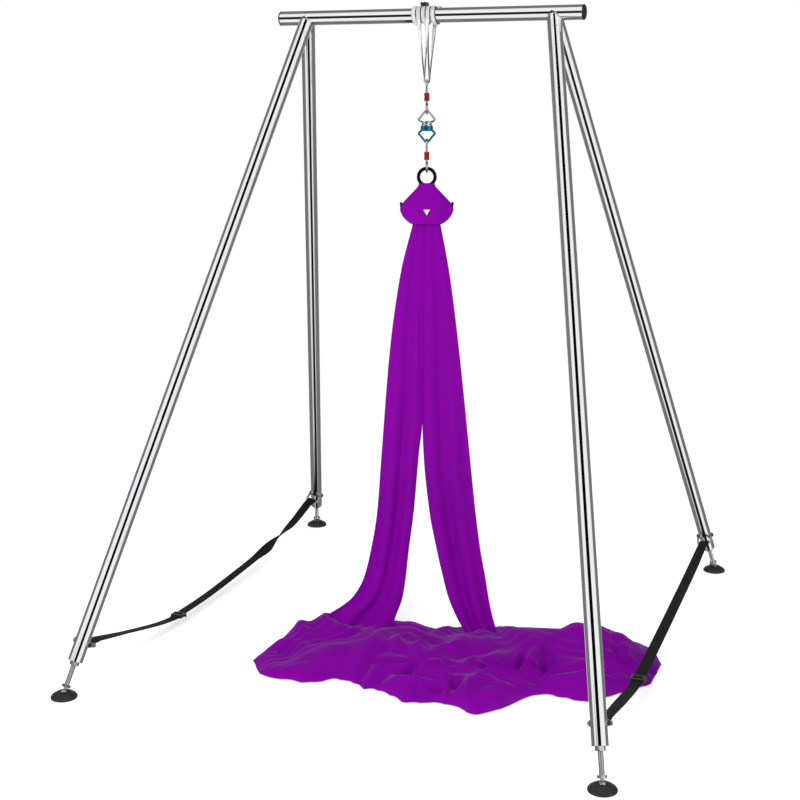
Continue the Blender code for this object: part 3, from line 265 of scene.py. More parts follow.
def weld(thing: bpy.types.Object, outward: bool = True) -> bpy.types.Object:
    """Weld the doubled points of a mesh.

    Args:
        thing: Object to weld.
        outward: True to turn its faces outward too.

    Returns:
        The same object.
    """
    if thing.mode != "EDIT":
        take(thing)
        bpy.ops.object.mode_set(mode="EDIT")
    bpy.ops.mesh.select_all(action="SELECT")
    bpy.ops.mesh.remove_doubles(threshold=WELD)
    if outward:
        bpy.ops.mesh.normals_make_consistent(inside=False)
    bpy.ops.object.mode_set(mode="OBJECT")
    return thing


def turned(name: str, profile: Profile, sides: int, ring: bool = False) -> bpy.types.Object:
    """Turn a profile round Z by extruding a circle up its steps.

    Args:
        name: Name of the new object.
        profile: Points as (radius, height).
        sides: Points round the circle.
        ring: True to join the last point to the first.

    Returns:
        The turned object.
    """
    clear_selection()
    radius, height = profile[0]
    bpy.ops.mesh.primitive_circle_add(vertices=sides, radius=max(radius, POLE))
    thing = named(name)
    bpy.ops.object.mode_set(mode="EDIT")
    bpy.ops.mesh.select_all(action="SELECT")
    bpy.ops.transform.translate(value=(0.0, 0.0, height))
    for next_radius, next_height in profile[1:] + (profile[:1] if ring else []):
        rise = {"value": (0.0, 0.0, next_height - height)}
        bpy.ops.mesh.extrude_region_move(TRANSFORM_OT_translate=rise)
        grow = max(next_radius, POLE) / max(radius, POLE)
        bpy.ops.transform.resize(value=(grow, grow, 1.0), center_override=(0.0, 0.0, next_height))
        radius, height = next_radius, next_height
    return weld(thing)


def rod(radius: float, low: float, high: float, chamfer: float = 0.0) -> Profile:
    """Profile of a solid rod.

    Args:
        radius: Its radius.
        low: Lower end.
        high: Upper end.
        chamfer: Chamfer at both ends, or 0 for square ends.

    Returns:
        Points from the axis at the lower end to the axis at the upper end.
    """
    if not chamfer:
        return [(0.0, low), (radius, low), (radius, high), (0.0, high)]
    return [(0.0, low), (radius - chamfer, low), (radius, low + chamfer), (radius, high - chamfer),
            (radius - chamfer, high), (0.0, high)]


def tube(inner: float, outer: float, low: float, high: float, rim: float, steps: int) -> Profile:
    """Profile of a tube.

    Args:
        inner: Radius of its bore.
        outer: Outer radius.
        low: Lower end.
        high: Upper end.
        rim: Chamfer round the outer edge of both ends.
        steps: Stretches that its length is cut into.

    Returns:
        Points up the outside, from the bore's lower edge to its upper edge.
    """
    wall = [(outer, low + (high - low) * k / steps) for k in range(1, steps)]
    return [(inner, low), (outer - rim, low), (outer, low + rim), *wall, (outer, high - rim),
            (outer - rim, high), (inner, high)]


def cylinder(name: str, sides: int, radius: float, low: float, high: float) -> bpy.types.Object:
    """Bar with flat sides along Z.

    Args:
        name: Name of the new object.
        sides: Number of flats.
        radius: Radius over its corners.
        low: Lower end.
        high: Upper end.

    Returns:
        The bar.
    """
    clear_selection()
    middle = (0.0, 0.0, (low + high) / 2.0)
    bpy.ops.mesh.primitive_cylinder_add(vertices=sides, radius=radius, depth=high - low, location=middle)
    return place(named(name), Matrix.Identity(4))


def hexagon(name: str, flats: float, low: float, high: float, cone: Profile | None = None,
            sides: int = 72) -> bpy.types.Object:
    """Hexagon bar whose corners are turned down.

    Args:
        name: Name of the new object.
        flats: Width across flats.
        low: Lower end.
        high: Upper end.
        cone: Profile that the corners are turned to.
        sides: Points round that profile.

    Returns:
        The bar.
    """
    bar = cylinder(name, 6, flats / 2.0 / math.cos(math.pi / 6), low, high)
    return combine(bar, turned("chamfer", cone, sides), Cut.WITHIN) if cone else bar


def box(name: str, low: Sequence[float], high: Sequence[float]) -> bpy.types.Object:
    """Block between two corners.

    Args:
        name: Name of the new object.
        low: Its lowest corner.
        high: Its highest corner.

    Returns:
        The block.
    """
    clear_selection()
    middle = [(a + b) / 2.0 for a, b in zip(low, high)]
    bpy.ops.mesh.primitive_cube_add(size=1.0, location=middle)
    thing = named(name)
    thing.scale = [b - a for a, b in zip(low, high)]
    return place(thing, Matrix.Identity(4))


def linked(name: str, data: bpy.types.ID) -> bpy.types.Object:
    """Put new data into the scene as an object.

    Args:
        name: Name of the new object.
        data: Mesh, curve, light or camera.

    Returns:
        The object.
    """
    thing = bpy.data.objects.new(name, data)
    bpy.context.scene.collection.objects.link(thing)
    return thing


def swept(name: str, points: Sequence[Vector], radii: float | Sequence[float], sides: int = 24,
          cyclic: bool = False) -> bpy.types.Object:
    """Round bar along a path, made as a bevelled curve.

    Args:
        name: Name of the new object.
        points: Points of the centre line.
        radii: One radius, or one for each point.
        sides: Points round the bar.
        cyclic: True where the path closes on itself.

    Returns:
        The bar as a mesh.
    """
    clear_selection()
    curve = bpy.data.curves.new(name, "CURVE")
    curve.dimensions = "3D"
    curve.bevel_depth = 1.0
    curve.bevel_resolution = max(sides // 4 - 1, 0)
    curve.use_fill_caps = not cyclic
    curve.twist_mode = "MINIMUM"
    spline = curve.splines.new("POLY")
    spline.points.add(len(points) - 1)
    spline.use_cyclic_u = cyclic
    sizes = [radii] * len(points) if isinstance(radii, float) else list(radii)
    for slot, point, size in zip(spline.points, points, sizes):
        slot.co = (*point, 1.0)
        slot.radius = size
    take(linked(name, curve))
    bpy.ops.object.convert(target="MESH")
    return weld(named(name))


def joined(name: str, *things: bpy.types.Object) -> bpy.types.Object:
    """Join objects into one.

    Args:
        name: Its name.
        things: Objects to join.

    Returns:
        The joined object.
    """
    take(*things)
    bpy.ops.object.join()
    return named(name)


def lofted(name: str, rings: Sequence[Sequence[Vector]], closed: bool, caps: bool = False,
           uv: tuple[Sequence[float], Sequence[float]] | None = None,
           upright: bool = False) -> bpy.types.Object:
    """Surface through a row of rings or open rows, with an optional UV map in metres.

    Args:
        name: Name of the new object.
        rings: Rows of points, all of one length.
        closed: True where each row closes on itself.
        caps: True to fill the first and last row.
        uv: Place of each row and of each column on the cloth; a closed row has one column more.
        upright: True where the columns run along the map's first axis.

    Returns:
        The surface as an object.
    """
    mesh = bpy.data.meshes.new(name)
    bm = bmesh.new()
    layer = bm.loops.layers.uv.new("cloth") if uv else None
    loops = [[bm.verts.new(point) for point in ring] for ring in rings]
    count = len(rings[0])
    for i, (first, second) in enumerate(zip(loops, loops[1:])):
        for j in range(count if closed else count - 1):
            k = (j + 1) % count
            face = bm.faces.new((first[j], first[k], second[k], second[j]))
            face.smooth = True
            if layer:
                for loop, (row, column) in zip(face.loops, ((i, j), (i, j + 1), (i + 1, j + 1), (i + 1, j))):
                    spot = (uv[0][row], uv[1][column])
                    loop[layer].uv = spot[::-1] if upright else spot
    if caps:
        bm.faces.new(loops[0][::-1])
        bm.faces.new(loops[-1])
    bmesh.ops.recalc_face_normals(bm, faces=bm.faces)
    bm.to_mesh(mesh)
    bm.free()
    return linked(name, mesh)


def quarter_turn(steps: int) -> list[float]:
    """Angles from 0 to a quarter turn, ends included."""
    return [math.radians(angle) for angle in spread(90.0, steps)]


def spread(size: float, steps: int, start: float = 0.0) -> list[float]:
    """Evenly spaced values over a size, ends included."""
    return [start + size * k / steps for k in range(steps + 1)]


def arc(centre: tuple[float, float], radius: float, start: float, end: float, steps: int) -> Profile:
    """Points on a circular arc, angles in degrees."""
    angles = [math.radians(start + (end - start) * k / steps) for k in range(steps + 1)]
    return [(centre[0] + radius * math.cos(t), centre[1] + radius * math.sin(t)) for t in angles]


def smooth_curve(points: Sequence[Vector], per_span: int) -> list[Vector]:
    """Points on a smooth curve through the given points.

    Args:
        points: Points to pass through.
        per_span: Steps between two of them.

    Returns:
        The finer row of points.
    """
    padded = [points[0] * 2 - points[1], *points, points[-1] * 2 - points[-2]]
    found = []
    for a, b, c, d in zip(padded, padded[1:], padded[2:], padded[3:]):
        for k in range(per_span):
            t = k / per_span
            bend = (a * 2 - b * 5 + c * 4 - d) * t**2
            turn = (b * 3 - a - c * 3 + d) * t**3
            found.append(0.5 * (b * 2 + (c - a) * t + bend + turn))
    return [*found, points[-1]]


def tangents(points: Sequence[Vector]) -> list[Vector]:
    """Unit tangents by central differences."""
    ends = zip([points[0], *points], [*points[1:], points[-1]])
    return [(after - before).normalized() for before, after in ends]


def lengths_along(points: Sequence[Vector]) -> list[float]:
    """Distance of each point from the first, along the path."""
    return list(accumulate(((b - a).length for a, b in zip(points, points[1:])), initial=0.0))


def eased(value: float) -> float:
    """Smooth step from 0 to 1."""
    share = min(max(value, 0.0), 1.0)
    return share * share * (3.0 - 2.0 * share)


def swelled(value: float, power: float) -> float:
    """Value raised to a power, with its sign kept."""
    return math.copysign(abs(value) ** power, value)


def hump(x: float, y: float, centre: tuple[float, float], wide: tuple[float, float]) -> float:
    """Height at a point of a round hump of height 1."""
    return math.exp(-(((x - centre[0]) / wide[0]) ** 2 + ((y - centre[1]) / wide[1]) ** 2))


class Curve:
    """Smooth curve without overshoot through rows of (position, value)."""

    def __init__(self, *rows: tuple[float, float]) -> None:
        """Work out the slope at each row.

        Args:
            rows: The rows, by rising position.
        """
        self.rows = rows
        self.steps = [(b[0] - a[0], (b[1] - a[1]) / (b[0] - a[0])) for a, b in zip(rows, rows[1:])]
        self.slopes = [self.steps[0][1]]
        for (_, low), (_, high) in zip(self.steps, self.steps[1:]):
            self.slopes.append(2.0 * low * high / (low + high) if low * high > 0.0 else 0.0)
        self.slopes.append(self.steps[-1][1])

    def __call__(self, position: float) -> float:
        """Read the curve.

        Args:
            position: Where to read it.

        Returns:
            The value there, in a straight line before the first row and level past the last.
        """
        rows, slopes = self.rows, self.slopes
        if position < rows[0][0]:
            return rows[0][1] + slopes[0] * (position - rows[0][0])
        inside = min(position, rows[-1][0])
        k = 0
        while k < len(self.steps) - 1 and inside > rows[k + 1][0]:
            k += 1
        wide = self.steps[k][0]
        t = (inside - rows[k][0]) / wide
        rise = t * t * (3.0 - 2.0 * t)
        bend = slopes[k] * t * (1.0 - t) ** 2 - slopes[k + 1] * t * t * (1.0 - t)
        return rows[k][1] + (rows[k + 1][1] - rows[k][1]) * rise + wide * bend


# Finishes


def rgba(colour: Colour, gain: float = 1.0, lift: float = 0.0) -> tuple[float, float, float, float]:
    """Colour with an alpha of 1, made lighter or darker."""
    return (*[min(channel * gain + lift, 1.0) for channel in colour], 1.0)


class Graph:
    """Short way to lay nodes in a tree."""

    def __init__(self, tree: bpy.types.NodeTree) -> None:
        """Hold the tree."""
        self.tree = tree

    def feed(self, node: bpy.types.Node, inputs: dict) -> bpy.types.Node:
        """Fill the inputs of a node.

        Args:
            node: Node to fill.
            inputs: Values or sockets by input name or number.

        Returns:
            The same node.
        """
        for key, value in inputs.items():
            if isinstance(value, bpy.types.NodeSocket):
                self.tree.links.new(value, node.inputs[key])
            else:
                node.inputs[key].default_value = value
        return node

    def add(self, kind: str, inputs: dict | None = None, **settings: object) -> bpy.types.NodeOutputs:
        """Add a shader node, set its options and fill its inputs.

        Args:
            kind: Node type without its prefix.
            inputs: Values or sockets by input name or number.
            settings: Options of the node.

        Returns:
            The outputs of the new node.
        """
        node = self.tree.nodes.new(f"ShaderNode{kind}")
        for key, value in settings.items():
            setattr(node, key, value)
        return self.feed(node, inputs or {}).outputs

    def math(self, operation: str, a: object, b: object = 0.0, c: object = 0.0) -> bpy.types.NodeSocket:
        """Add a Math node and return its result."""
        return self.add("Math", {0: a, 1: b, 2: c}, operation=operation)[0]

    def off(self, value: object, middle: float) -> bpy.types.NodeSocket:
        """Distance of a value from a middle value."""
        return self.math("ABSOLUTE", self.math("SUBTRACT", value, middle))

    def between(self, value: object, low: float, high: float, out_low: float = 0.0,
                out_high: float = 1.0) -> bpy.types.NodeSocket:
        """Map a value from one range to another, clamped."""
        inputs = {"Value": value, "From Min": low, "From Max": high, "To Min": out_low, "To Max": out_high}
        return self.add("MapRange", inputs)["Result"]

    def mix(self, share: object, first: object, second: object) -> bpy.types.NodeSocket:
        """Mix two colours."""
        return self.add("Mix", {0: share, 6: first, 7: second}, data_type="RGBA")[2]

    def noise(self, here: object, scale: object, detail: float, **more: float) -> bpy.types.NodeSocket:
        """Add a noise texture and return its value."""
        inputs = {"Vector": here, "Scale": scale, "Detail": detail}
        return self.add("TexNoise", inputs | {key.title(): value for key, value in more.items()})[0]

    def bump(self, height: object, strength: float, distance: float) -> bpy.types.NodeSocket:
        """Add a Bump node and return its normal."""
        return self.add("Bump", {"Strength": strength, "Distance": distance, "Height": height})[0]


def new_group(name: str, values: dict[str, float], results: Sequence[str]) -> tuple:
    """Start a shader node group that reads a vector.

    Args:
        name: Name of the group.
        values: Its other inputs, with their defaults.
        results: Names of its outputs.

    Returns:
        Its graph, the outputs of its input node and its output node.
    """
    tree = bpy.data.node_groups.new(name, "ShaderNodeTree")
    tree.interface.new_socket("Vector", in_out="INPUT", socket_type="NodeSocketVector")
    for key, value in values.items():
        socket = tree.interface.new_socket(key, in_out="INPUT", socket_type="NodeSocketFloat")
        socket.default_value = value
    for key in results:
        tree.interface.new_socket(key, in_out="OUTPUT", socket_type="NodeSocketFloat")
    given = tree.nodes.new("NodeGroupInput")
    return Graph(tree), given.outputs, tree.nodes.new("NodeGroupOutput")


@cache
def handling_group() -> bpy.types.NodeTree:
    """Marks that hands and cloths leave.

    Returns:
        Group that puts out soft smudges and fine hair scratches.
    """
    scales = {"Smudge Scale": 9.0, "Scratch Scale": 140.0}
    graph, given, result = new_group("handling_marks", scales, ("Smudge", "Scratch"))
    smudge = graph.noise(given["Vector"], given["Smudge Scale"], 5.0, roughness=0.6)
    turn = {"Vector": given["Vector"], "Rotation": (0.4, 0.7, 0.3), "Scale": (1.0, 0.06, 1.0)}
    hair = graph.noise(graph.add("Mapping", turn)[0], given["Scratch Scale"], 3.0)
    broad, fine = graph.between(smudge, 0.42, 0.68), graph.between(hair, 0.60, 0.72)
    graph.feed(result, {"Smudge": broad, "Scratch": fine})
    return graph.tree


@cache
def grain_group() -> bpy.types.NodeTree:
    """Fine pebbled grain of a cast, moulded or plated skin.

    Returns:
        Group that puts out the grain's height and broad patches.
    """
    graph, given, result = new_group("skin_grain", {"Scale": 900.0}, ("Height", "Patch"))
    pebble = graph.add("TexVoronoi", {"Vector": given["Vector"], "Scale": given["Scale"]})
    patch = graph.noise(given["Vector"], graph.math("MULTIPLY", given["Scale"], 0.04), 4.0)
    graph.feed(result, {"Height": pebble["Distance"], "Patch": graph.between(patch, 0.35, 0.7)})
    return graph.tree


@cache
def weave_group() -> bpy.types.NodeTree:
    """Over-and-under weave laid on a UV map in metres.

    Returns:
        Group that puts out the threads' height, with some fuzz, and a mask for painted shade in the dips
        between the threads.
    """
    pitches = {"Warp Pitch": 0.002, "Weft Pitch": 0.002}
    graph, given, result = new_group("woven_threads", pitches, ("Height", "Shade"))
    place_of = graph.add("SeparateXYZ", {0: given["Vector"]})
    waves = []
    for number, pitch in enumerate(pitches):
        count = graph.math("DIVIDE", place_of[number], given[pitch])
        waves.append(graph.math("SINE", graph.math("MULTIPLY", count, FULL_TURN)))
    height = graph.between(graph.math("MULTIPLY", *waves), -1.0, 1.0)
    fuzz = graph.noise(given["Vector"], 1800.0, 2.0)
    graph.feed(result, {"Height": graph.math("MULTIPLY_ADD", fuzz, 0.35, height), "Shade": height})
    return graph.tree


@dataclass(frozen=True)
class Finish:
    """Name, record slot and base values of a finish."""

    name: str
    slot: str
    colour: Colour
    roughness: float

    def inputs(self, graph: Graph, here: bpy.types.NodeSocket) -> dict[str, object]:
        """Lay the finish's nodes.

        Args:
            graph: Graph of the material.
            here: Object coordinates.

        Returns:
            Values or sockets by input of the shader.
        """
        raise NotImplementedError

    def material(self) -> bpy.types.Material:
        """Material of this finish, built once.

        Returns:
            The material.
        """
        material = bpy.data.materials.get(self.name)
        if material is None:
            material = bpy.data.materials.new(self.name)
            material.use_nodes = True
            material.diffuse_color = rgba(self.colour)
            graph = Graph(material.node_tree)
            shader = graph.tree.nodes["Principled BSDF"]
            graph.feed(shader, {"Base Color": rgba(self.colour), "Roughness": self.roughness})
            graph.feed(shader, self.inputs(graph, graph.add("TexCoord")["Object"]))
        return material


@dataclass(frozen=True)
class Metal(Finish):
    """Plated, polished or anodised metal with handling marks."""

    metallic: float = 1.0
    smudge: float = 0.10
    scratch: float = 0.08
    scratch_height: float = -0.3
    grain: float = 0.0
    grain_scale: float = 900.0
    grain_depth: float = 0.0003
    least_depth: float = 0.00001
    tone: float = 0.85

    def inputs(self, graph: Graph, here: bpy.types.NodeSocket) -> dict[str, object]:
        """Lay the nodes of the metal.

        Args:
            graph: Graph of the material.
            here: Object coordinates.

        Returns:
            Values or sockets by input of the shader.
        """
        marks = graph.add("Group", {"Vector": here}, node_tree=handling_group())
        skin = graph.add("Group", {"Vector": here, "Scale": self.grain_scale}, node_tree=grain_group())
        dull = graph.math("MULTIPLY", marks["Smudge"], self.smudge)
        hair = graph.math("MULTIPLY", marks["Scratch"], self.scratch)
        pebbles = graph.math("MULTIPLY", skin["Height"], self.grain)
        scratches = graph.math("MULTIPLY", marks["Scratch"], self.scratch_height)
        depth = self.least_depth + self.grain * self.grain_depth
        return {
            "Base Color": graph.mix(marks["Smudge"], rgba(self.colour), rgba(self.colour, self.tone)),
            "Metallic": self.metallic,
            "Roughness": graph.math("ADD", graph.math("ADD", dull, hair), self.roughness),
            "Normal": graph.bump(graph.math("ADD", pebbles, scratches), 0.4, depth),
        }


@dataclass(frozen=True)
class Moulded(Finish):
    """Black rubber or plastic with a moulded grain and a little dust."""

    grain_scale: float = 1400.0
    grain_depth: float = 0.00006
    dust: float = 0.25
    dust_roughness: float = 0.18

    def inputs(self, graph: Graph, here: bpy.types.NodeSocket) -> dict[str, object]:
        """Lay the nodes of the moulded skin.

        Args:
            graph: Graph of the material.
            here: Object coordinates.

        Returns:
            Values or sockets by input of the shader.
        """
        skin = graph.add("Group", {"Vector": here, "Scale": self.grain_scale}, node_tree=grain_group())
        patch = graph.math("MULTIPLY", skin["Patch"], self.dust)
        return {
            "Base Color": graph.mix(patch, rgba(self.colour), rgba(self.colour, 0.6, 0.045)),
            "Roughness": graph.math("MULTIPLY_ADD", skin["Patch"], self.dust_roughness, self.roughness),
            "Normal": graph.bump(skin["Height"], 0.5, self.grain_depth),
        }


@dataclass(frozen=True)
class Woven(Finish):
    """Webbing or rope woven on its own UV map, with darker selvedges, painted shade in the dips of the weave
    and worn, paler patches; on the sling the dark selvedges are painted shade of the gaps between its turns.
    """

    warp: float = 0.0024
    weft: float = 0.0016
    edge: float = 0.0205
    # Darker selvedges; on the sling they are painted shade of the gaps between its wound turns
    edge_shade: float = 0.45
    # Painted shade: colour of the threads where they dip under each other
    low_shade: float = 0.55
    worn_shade: float = 1.35
    depth: float = 0.0004
    sheen: float = 0.10
    gloss: float = 0.3

    def inputs(self, graph: Graph, here: bpy.types.NodeSocket) -> dict[str, object]:
        """Lay the nodes of the weave.

        Args:
            graph: Graph of the material.
            here: Object coordinates.

        Returns:
            Values or sockets by input of the shader.
        """
        cloth = graph.add("UVMap", uv_map="cloth")[0]
        pitches = {"Vector": cloth, "Warp Pitch": self.warp, "Weft Pitch": self.weft}
        weave = graph.add("Group", pitches, node_tree=weave_group())
        off_centre = graph.math("ABSOLUTE", graph.add("SeparateXYZ", {0: cloth})[1])
        # Mask of the darker selvedges, which on the sling paint the shade of the gaps between its turns
        selvedge_and_gap_mask = graph.between(off_centre, self.edge - 0.0015, self.edge + 0.001)
        # Painted shade in the dips of the weave
        thread = graph.mix(weave["Shade"], rgba(self.colour, self.low_shade), rgba(self.colour))
        body = graph.mix(selvedge_and_gap_mask, thread, rgba(self.colour, self.edge_shade))
        worn = graph.between(graph.noise(here, 14.0, 4.0), 0.5, 0.75, 0.0, 0.5)
        return {
            "Base Color": graph.mix(worn, body, rgba(self.colour, self.worn_shade)),
            "Sheen Weight": self.sheen,
            "Specular IOR Level": self.gloss,
            "Normal": graph.bump(weave["Height"], 0.7, self.depth),
        }


@dataclass(frozen=True)
class Silk(Finish):
    """Knitted silk-like nylon: fine rows of stitches, soft creases and a warm sheen, with painted light and
    painted fold shade in drifting patches of its colour.
    """

    # Painted fold shade and painted light, mixed into the colour in drifting patches
    fold_colour: Colour = (0.140, 0.0, 0.245)
    glow_colour: Colour = (0.199, 0.0, 0.292)
    sheen_colour: Colour = (0.75, 0.25, 1.0)
    stitch: float = 0.0011
    stitch_height: float = 0.12

    def inputs(self, graph: Graph, here: bpy.types.NodeSocket) -> dict[str, object]:
        """Lay the nodes of the silk.

        Args:
            graph: Graph of the material.
            here: Object coordinates.

        Returns:
            Values or sockets by input of the shader.
        """
        cloth = graph.add("UVMap", uv_map="cloth")[0]
        pitches = {"Vector": cloth, "Warp Pitch": self.stitch, "Weft Pitch": self.stitch * 1.6}
        knit = graph.add("Group", pitches, node_tree=weave_group())
        hanging = graph.add("Mapping", {"Vector": here, "Scale": (1.0, 1.0, 0.25)})[0]
        drift = graph.noise(hanging, 9.0, 3.0)
        # Painted light: lighter patches where the drift noise is high
        lit = graph.mix(graph.between(drift, 0.35, 0.70), rgba(self.colour), rgba(self.glow_colour))
        crease = graph.noise(hanging, 45.0, 4.0, distortion=0.6)
        height = graph.math("ADD", graph.math("MULTIPLY", knit["Height"], self.stitch_height), crease)
        return {
            # Painted fold shade where the drift noise is low
            "Base Color": graph.mix(graph.between(drift, 0.30, 0.42, 0.5, 0.0), lit, rgba(self.fold_colour)),
            "Sheen Weight": 0.02,
            "Sheen Roughness": 0.4,
            "Sheen Tint": rgba(self.sheen_colour),
            "Specular IOR Level": 0.05,
            "Normal": graph.bump(height, 0.35, 0.0015),
        }


CHROME = Metal("polished_chrome", "chrome", (0.93, 0.93, 0.94), 0.035, smudge=0.05, scratch=0.03, tone=0.97)
ZINC = Metal("zinc_plate", "zinc_steel", (0.70, 0.71, 0.73), 0.24, smudge=0.16, grain=0.35, grain_scale=700.0)
DARK = Metal("dark_plate", "dark_steel", (0.055, 0.055, 0.060), 0.34, metallic=0.7, smudge=0.14, grain=0.3)
ALLOY = Metal("polished_alloy", "bright_alloy", (0.80, 0.81, 0.82), 0.17, smudge=0.14, grain=0.1)
RED = Metal("red_anodised", "red_anodised", (0.42, 0.030, 0.048), 0.26, metallic=0.65, grain=0.2, tone=0.75)
BLUE = Metal("blue_anodised", "blue_anodised", (0.0, 0.30, 0.45), 0.22, metallic=0.85, grain=0.1, tone=0.8)
BLACK = Metal("black_anodised", "black_anodised", (0.012, 0.012, 0.013), 0.28, metallic=0.5, grain=0.25)
CAP = Moulded("moulded_cap", "black_plastic", (0.006, 0.006, 0.007), 0.38, dust=0.12)
RUBBER = Moulded("foot_rubber", "rubber_foot", (0.014, 0.014, 0.015), 0.50, grain_scale=1100.0, dust=0.35)
WEBBING = Woven("black_webbing", "webbing", (0.009, 0.009, 0.010), 0.80, sheen=0.02, gloss=0.18)
# Very dark selvedges: painted shade of the gaps between the sling's turns
ROPE = Woven("sling_tape", "sling_rope", (0.70, 0.70, 0.69), 0.62, warp=0.0018, weft=0.0012, edge=0.0086,
             edge_shade=0.06)
# Painted shade: the knot is the sling's pale tape, coloured near black as the tape reads dark on top of the
# bar
KNOT_TAPE_SHADE = Woven("dark_cord", "sling_rope", (0.030, 0.030, 0.032), 0.55, warp=0.0018, weft=0.0012, edge=0.05)
SILK = Silk("purple_silk", "silk", (0.187, 0.0, 0.288), 0.55)


def dress(thing: bpy.types.Object, finish: Finish, angle: float = 35.0) -> bpy.types.Object:
    """Give a piece its material and shading.

    Args:
        thing: Piece to dress.
        finish: Its finish.
        angle: Least angle of an edge that stays sharp, in degrees.

    Returns:
        The piece.
    """
    take(thing)
    bpy.ops.object.shade_smooth_by_angle(angle=math.radians(angle))
    thing.data.materials.clear()
    thing.data.materials.append(finish.material())
    return thing


def fit(thing: bpy.types.Object, finish: Finish, body: str, node: str = "", name: str = "",
        angle: float = 35.0) -> bpy.types.Object:
    """Dress a piece, seat it on its body and let it stand for its node.

    Args:
        thing: Finished piece.
        finish: Its finish.
        body: Body that it rides on.
        node: Node that it stands for, if there is one.
        name: New name of the piece, where it has to change.
        angle: Least angle of an edge that stays sharp, in degrees.

    Returns:
        The piece.
    """
    thing.name = name or thing.name
    dress(thing, finish, angle)
    if node:
        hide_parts(node)
    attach(thing, body)
    log.info("%s: %d faces on %s", thing.name, len(thing.data.polygons), body)
    return thing


# Frame


@dataclass(frozen=True)
class Stance:
    """Where the bar and the four feet stand."""

    bar_height: float = 2.900
    spread_at_bar: float = 0.585
    foot_half_width: float = 1.190
    foot_half_depth: float = 1.335
    ball_radius: float = 0.0165
    ball_floor: float = 0.0055
    tube_radius: float = 0.033
    tube_wall: float = 0.003
    leg_end: float = 0.142
    seam_margin: float = 0.003

    @property
    def bore(self) -> float:
        """Inner radius of the tubes."""
        return self.tube_radius - self.tube_wall

    @property
    def ball_height(self) -> float:
        """Height of a foot's ball centre."""
        return self.ball_floor + self.ball_radius

    def leg(self, side: Side, row: Row) -> tuple[Matrix, float]:
        """Place of a leg.

        Args:
            side: Left or right.
            row: Front or back.

        Returns:
            Matrix at the foot's ball, with X across the leg, Y inward and Z up it, and the leg's length.
        """
        top = Vector((side.value * self.spread_at_bar, 0.0, self.bar_height))
        ball = Vector((side.value * self.foot_half_width, row.value * self.foot_half_depth, self.ball_height))
        up = (top - ball).normalized()
        inward = Vector((0.0, -row.value, 0.0))
        inward = (inward - up * inward.dot(up)).normalized()
        turn = Matrix((inward.cross(up), inward, up)).transposed().to_4x4()
        return Matrix.Translation(ball) @ turn, (top - ball).length

    @property
    def seam(self) -> float:
        """Distance down a leg from the bar's axis at which the pair of legs part."""
        lean = math.asin(abs(self.leg(Side.LEFT, Row.FRONT)[0].col[2][1]))
        return (self.tube_radius * math.cos(lean) + 2.0 * GAP) / math.sin(lean) + self.seam_margin


STANCE = Stance()


@dataclass(frozen=True)
class Pattern:
    """Piece that is modelled once, with a pair of braces in its names for each leg's tag."""

    model: bpy.types.Object
    name: str
    finish: Finish
    body: str
    node: str
    upright: bool = False


def copy_to_legs(*patterns: Pattern) -> None:
    """Copy patterns to the four legs and delete them.

    Args:
        patterns: The pieces, modelled at the ball with Z up the leg.
    """
    for side in Side:
        for row in Row:
            tag = f"{row.label}_{side.label}"
            matrix, _ = STANCE.leg(side, row)
            for pattern in patterns:
                where = Matrix.Translation(matrix.translation) if pattern.upright else matrix
                piece = place(copy_of(pattern.model, pattern.name.format(tag)), where)
                fit(piece, pattern.finish, pattern.body.format(tag), pattern.node.format(tag))
    remove(*[pattern.model for pattern in patterns])


@dataclass
class TopBar:
    """Chromed top bar and its two domed end caps."""

    length: float = 1.432
    rim: float = 0.0008
    steps: int = 24
    sides: int = 112
    insert: float = 0.030
    lead_in: float = 0.002
    ribs: int = 4
    rib_start: float = 0.004
    rib_pitch: float = 0.006
    rib_height: float = 0.001
    flange: float = 0.003
    flange_edge: float = 0.0006
    dome: float = 0.009

    def build(self) -> None:
        """Build and dress the bar and the caps."""
        half = self.length / 2.0
        profile = tube(STANCE.bore, STANCE.tube_radius, -half, half, self.rim, self.steps)
        bar = turned("chrome_bar", profile, self.sides, ring=True)
        fit(place(bar, shift(0.0, 0.0, STANCE.bar_height) @ ALONG_X), CHROME, "frame", "top_bar")
        for side in Side:
            self.cap(side)

    def cap(self, side: Side) -> None:
        """Build one end cap with its ribbed plug and domed head.

        Args:
            side: Left or right.
        """
        inner, outer = STANCE.bore - SLIDE, STANCE.tube_radius
        core, tip = inner - self.rib_height, -self.insert
        profile = [(0.0, tip), (inner - self.lead_in, tip), (core, tip + self.lead_in)]
        for rib in range(self.ribs):
            at = tip + self.rib_start + rib * self.rib_pitch
            profile += [(core, at), (inner, at + 0.001), (inner, at + 0.003), (core, at + 0.004)]
        profile += [(core, GAP), (outer - self.flange_edge, GAP), (outer, GAP + self.flange_edge)]
        profile.append((outer, self.flange))
        for t in quarter_turn(12)[1:]:
            profile.append((outer * math.cos(t) ** 0.8, self.flange + self.dome * math.sin(t)))
        cap = turned(f"end_cap_{side.label}", profile, self.sides)
        turn = Matrix.Rotation(math.radians(90.0 * side.value), 4, "Y")
        place(cap, shift(side.value * self.length / 2.0, 0.0, STANCE.bar_height) @ turn)
        fit(cap, CAP, "frame", f"bar_cap_{side.label}")


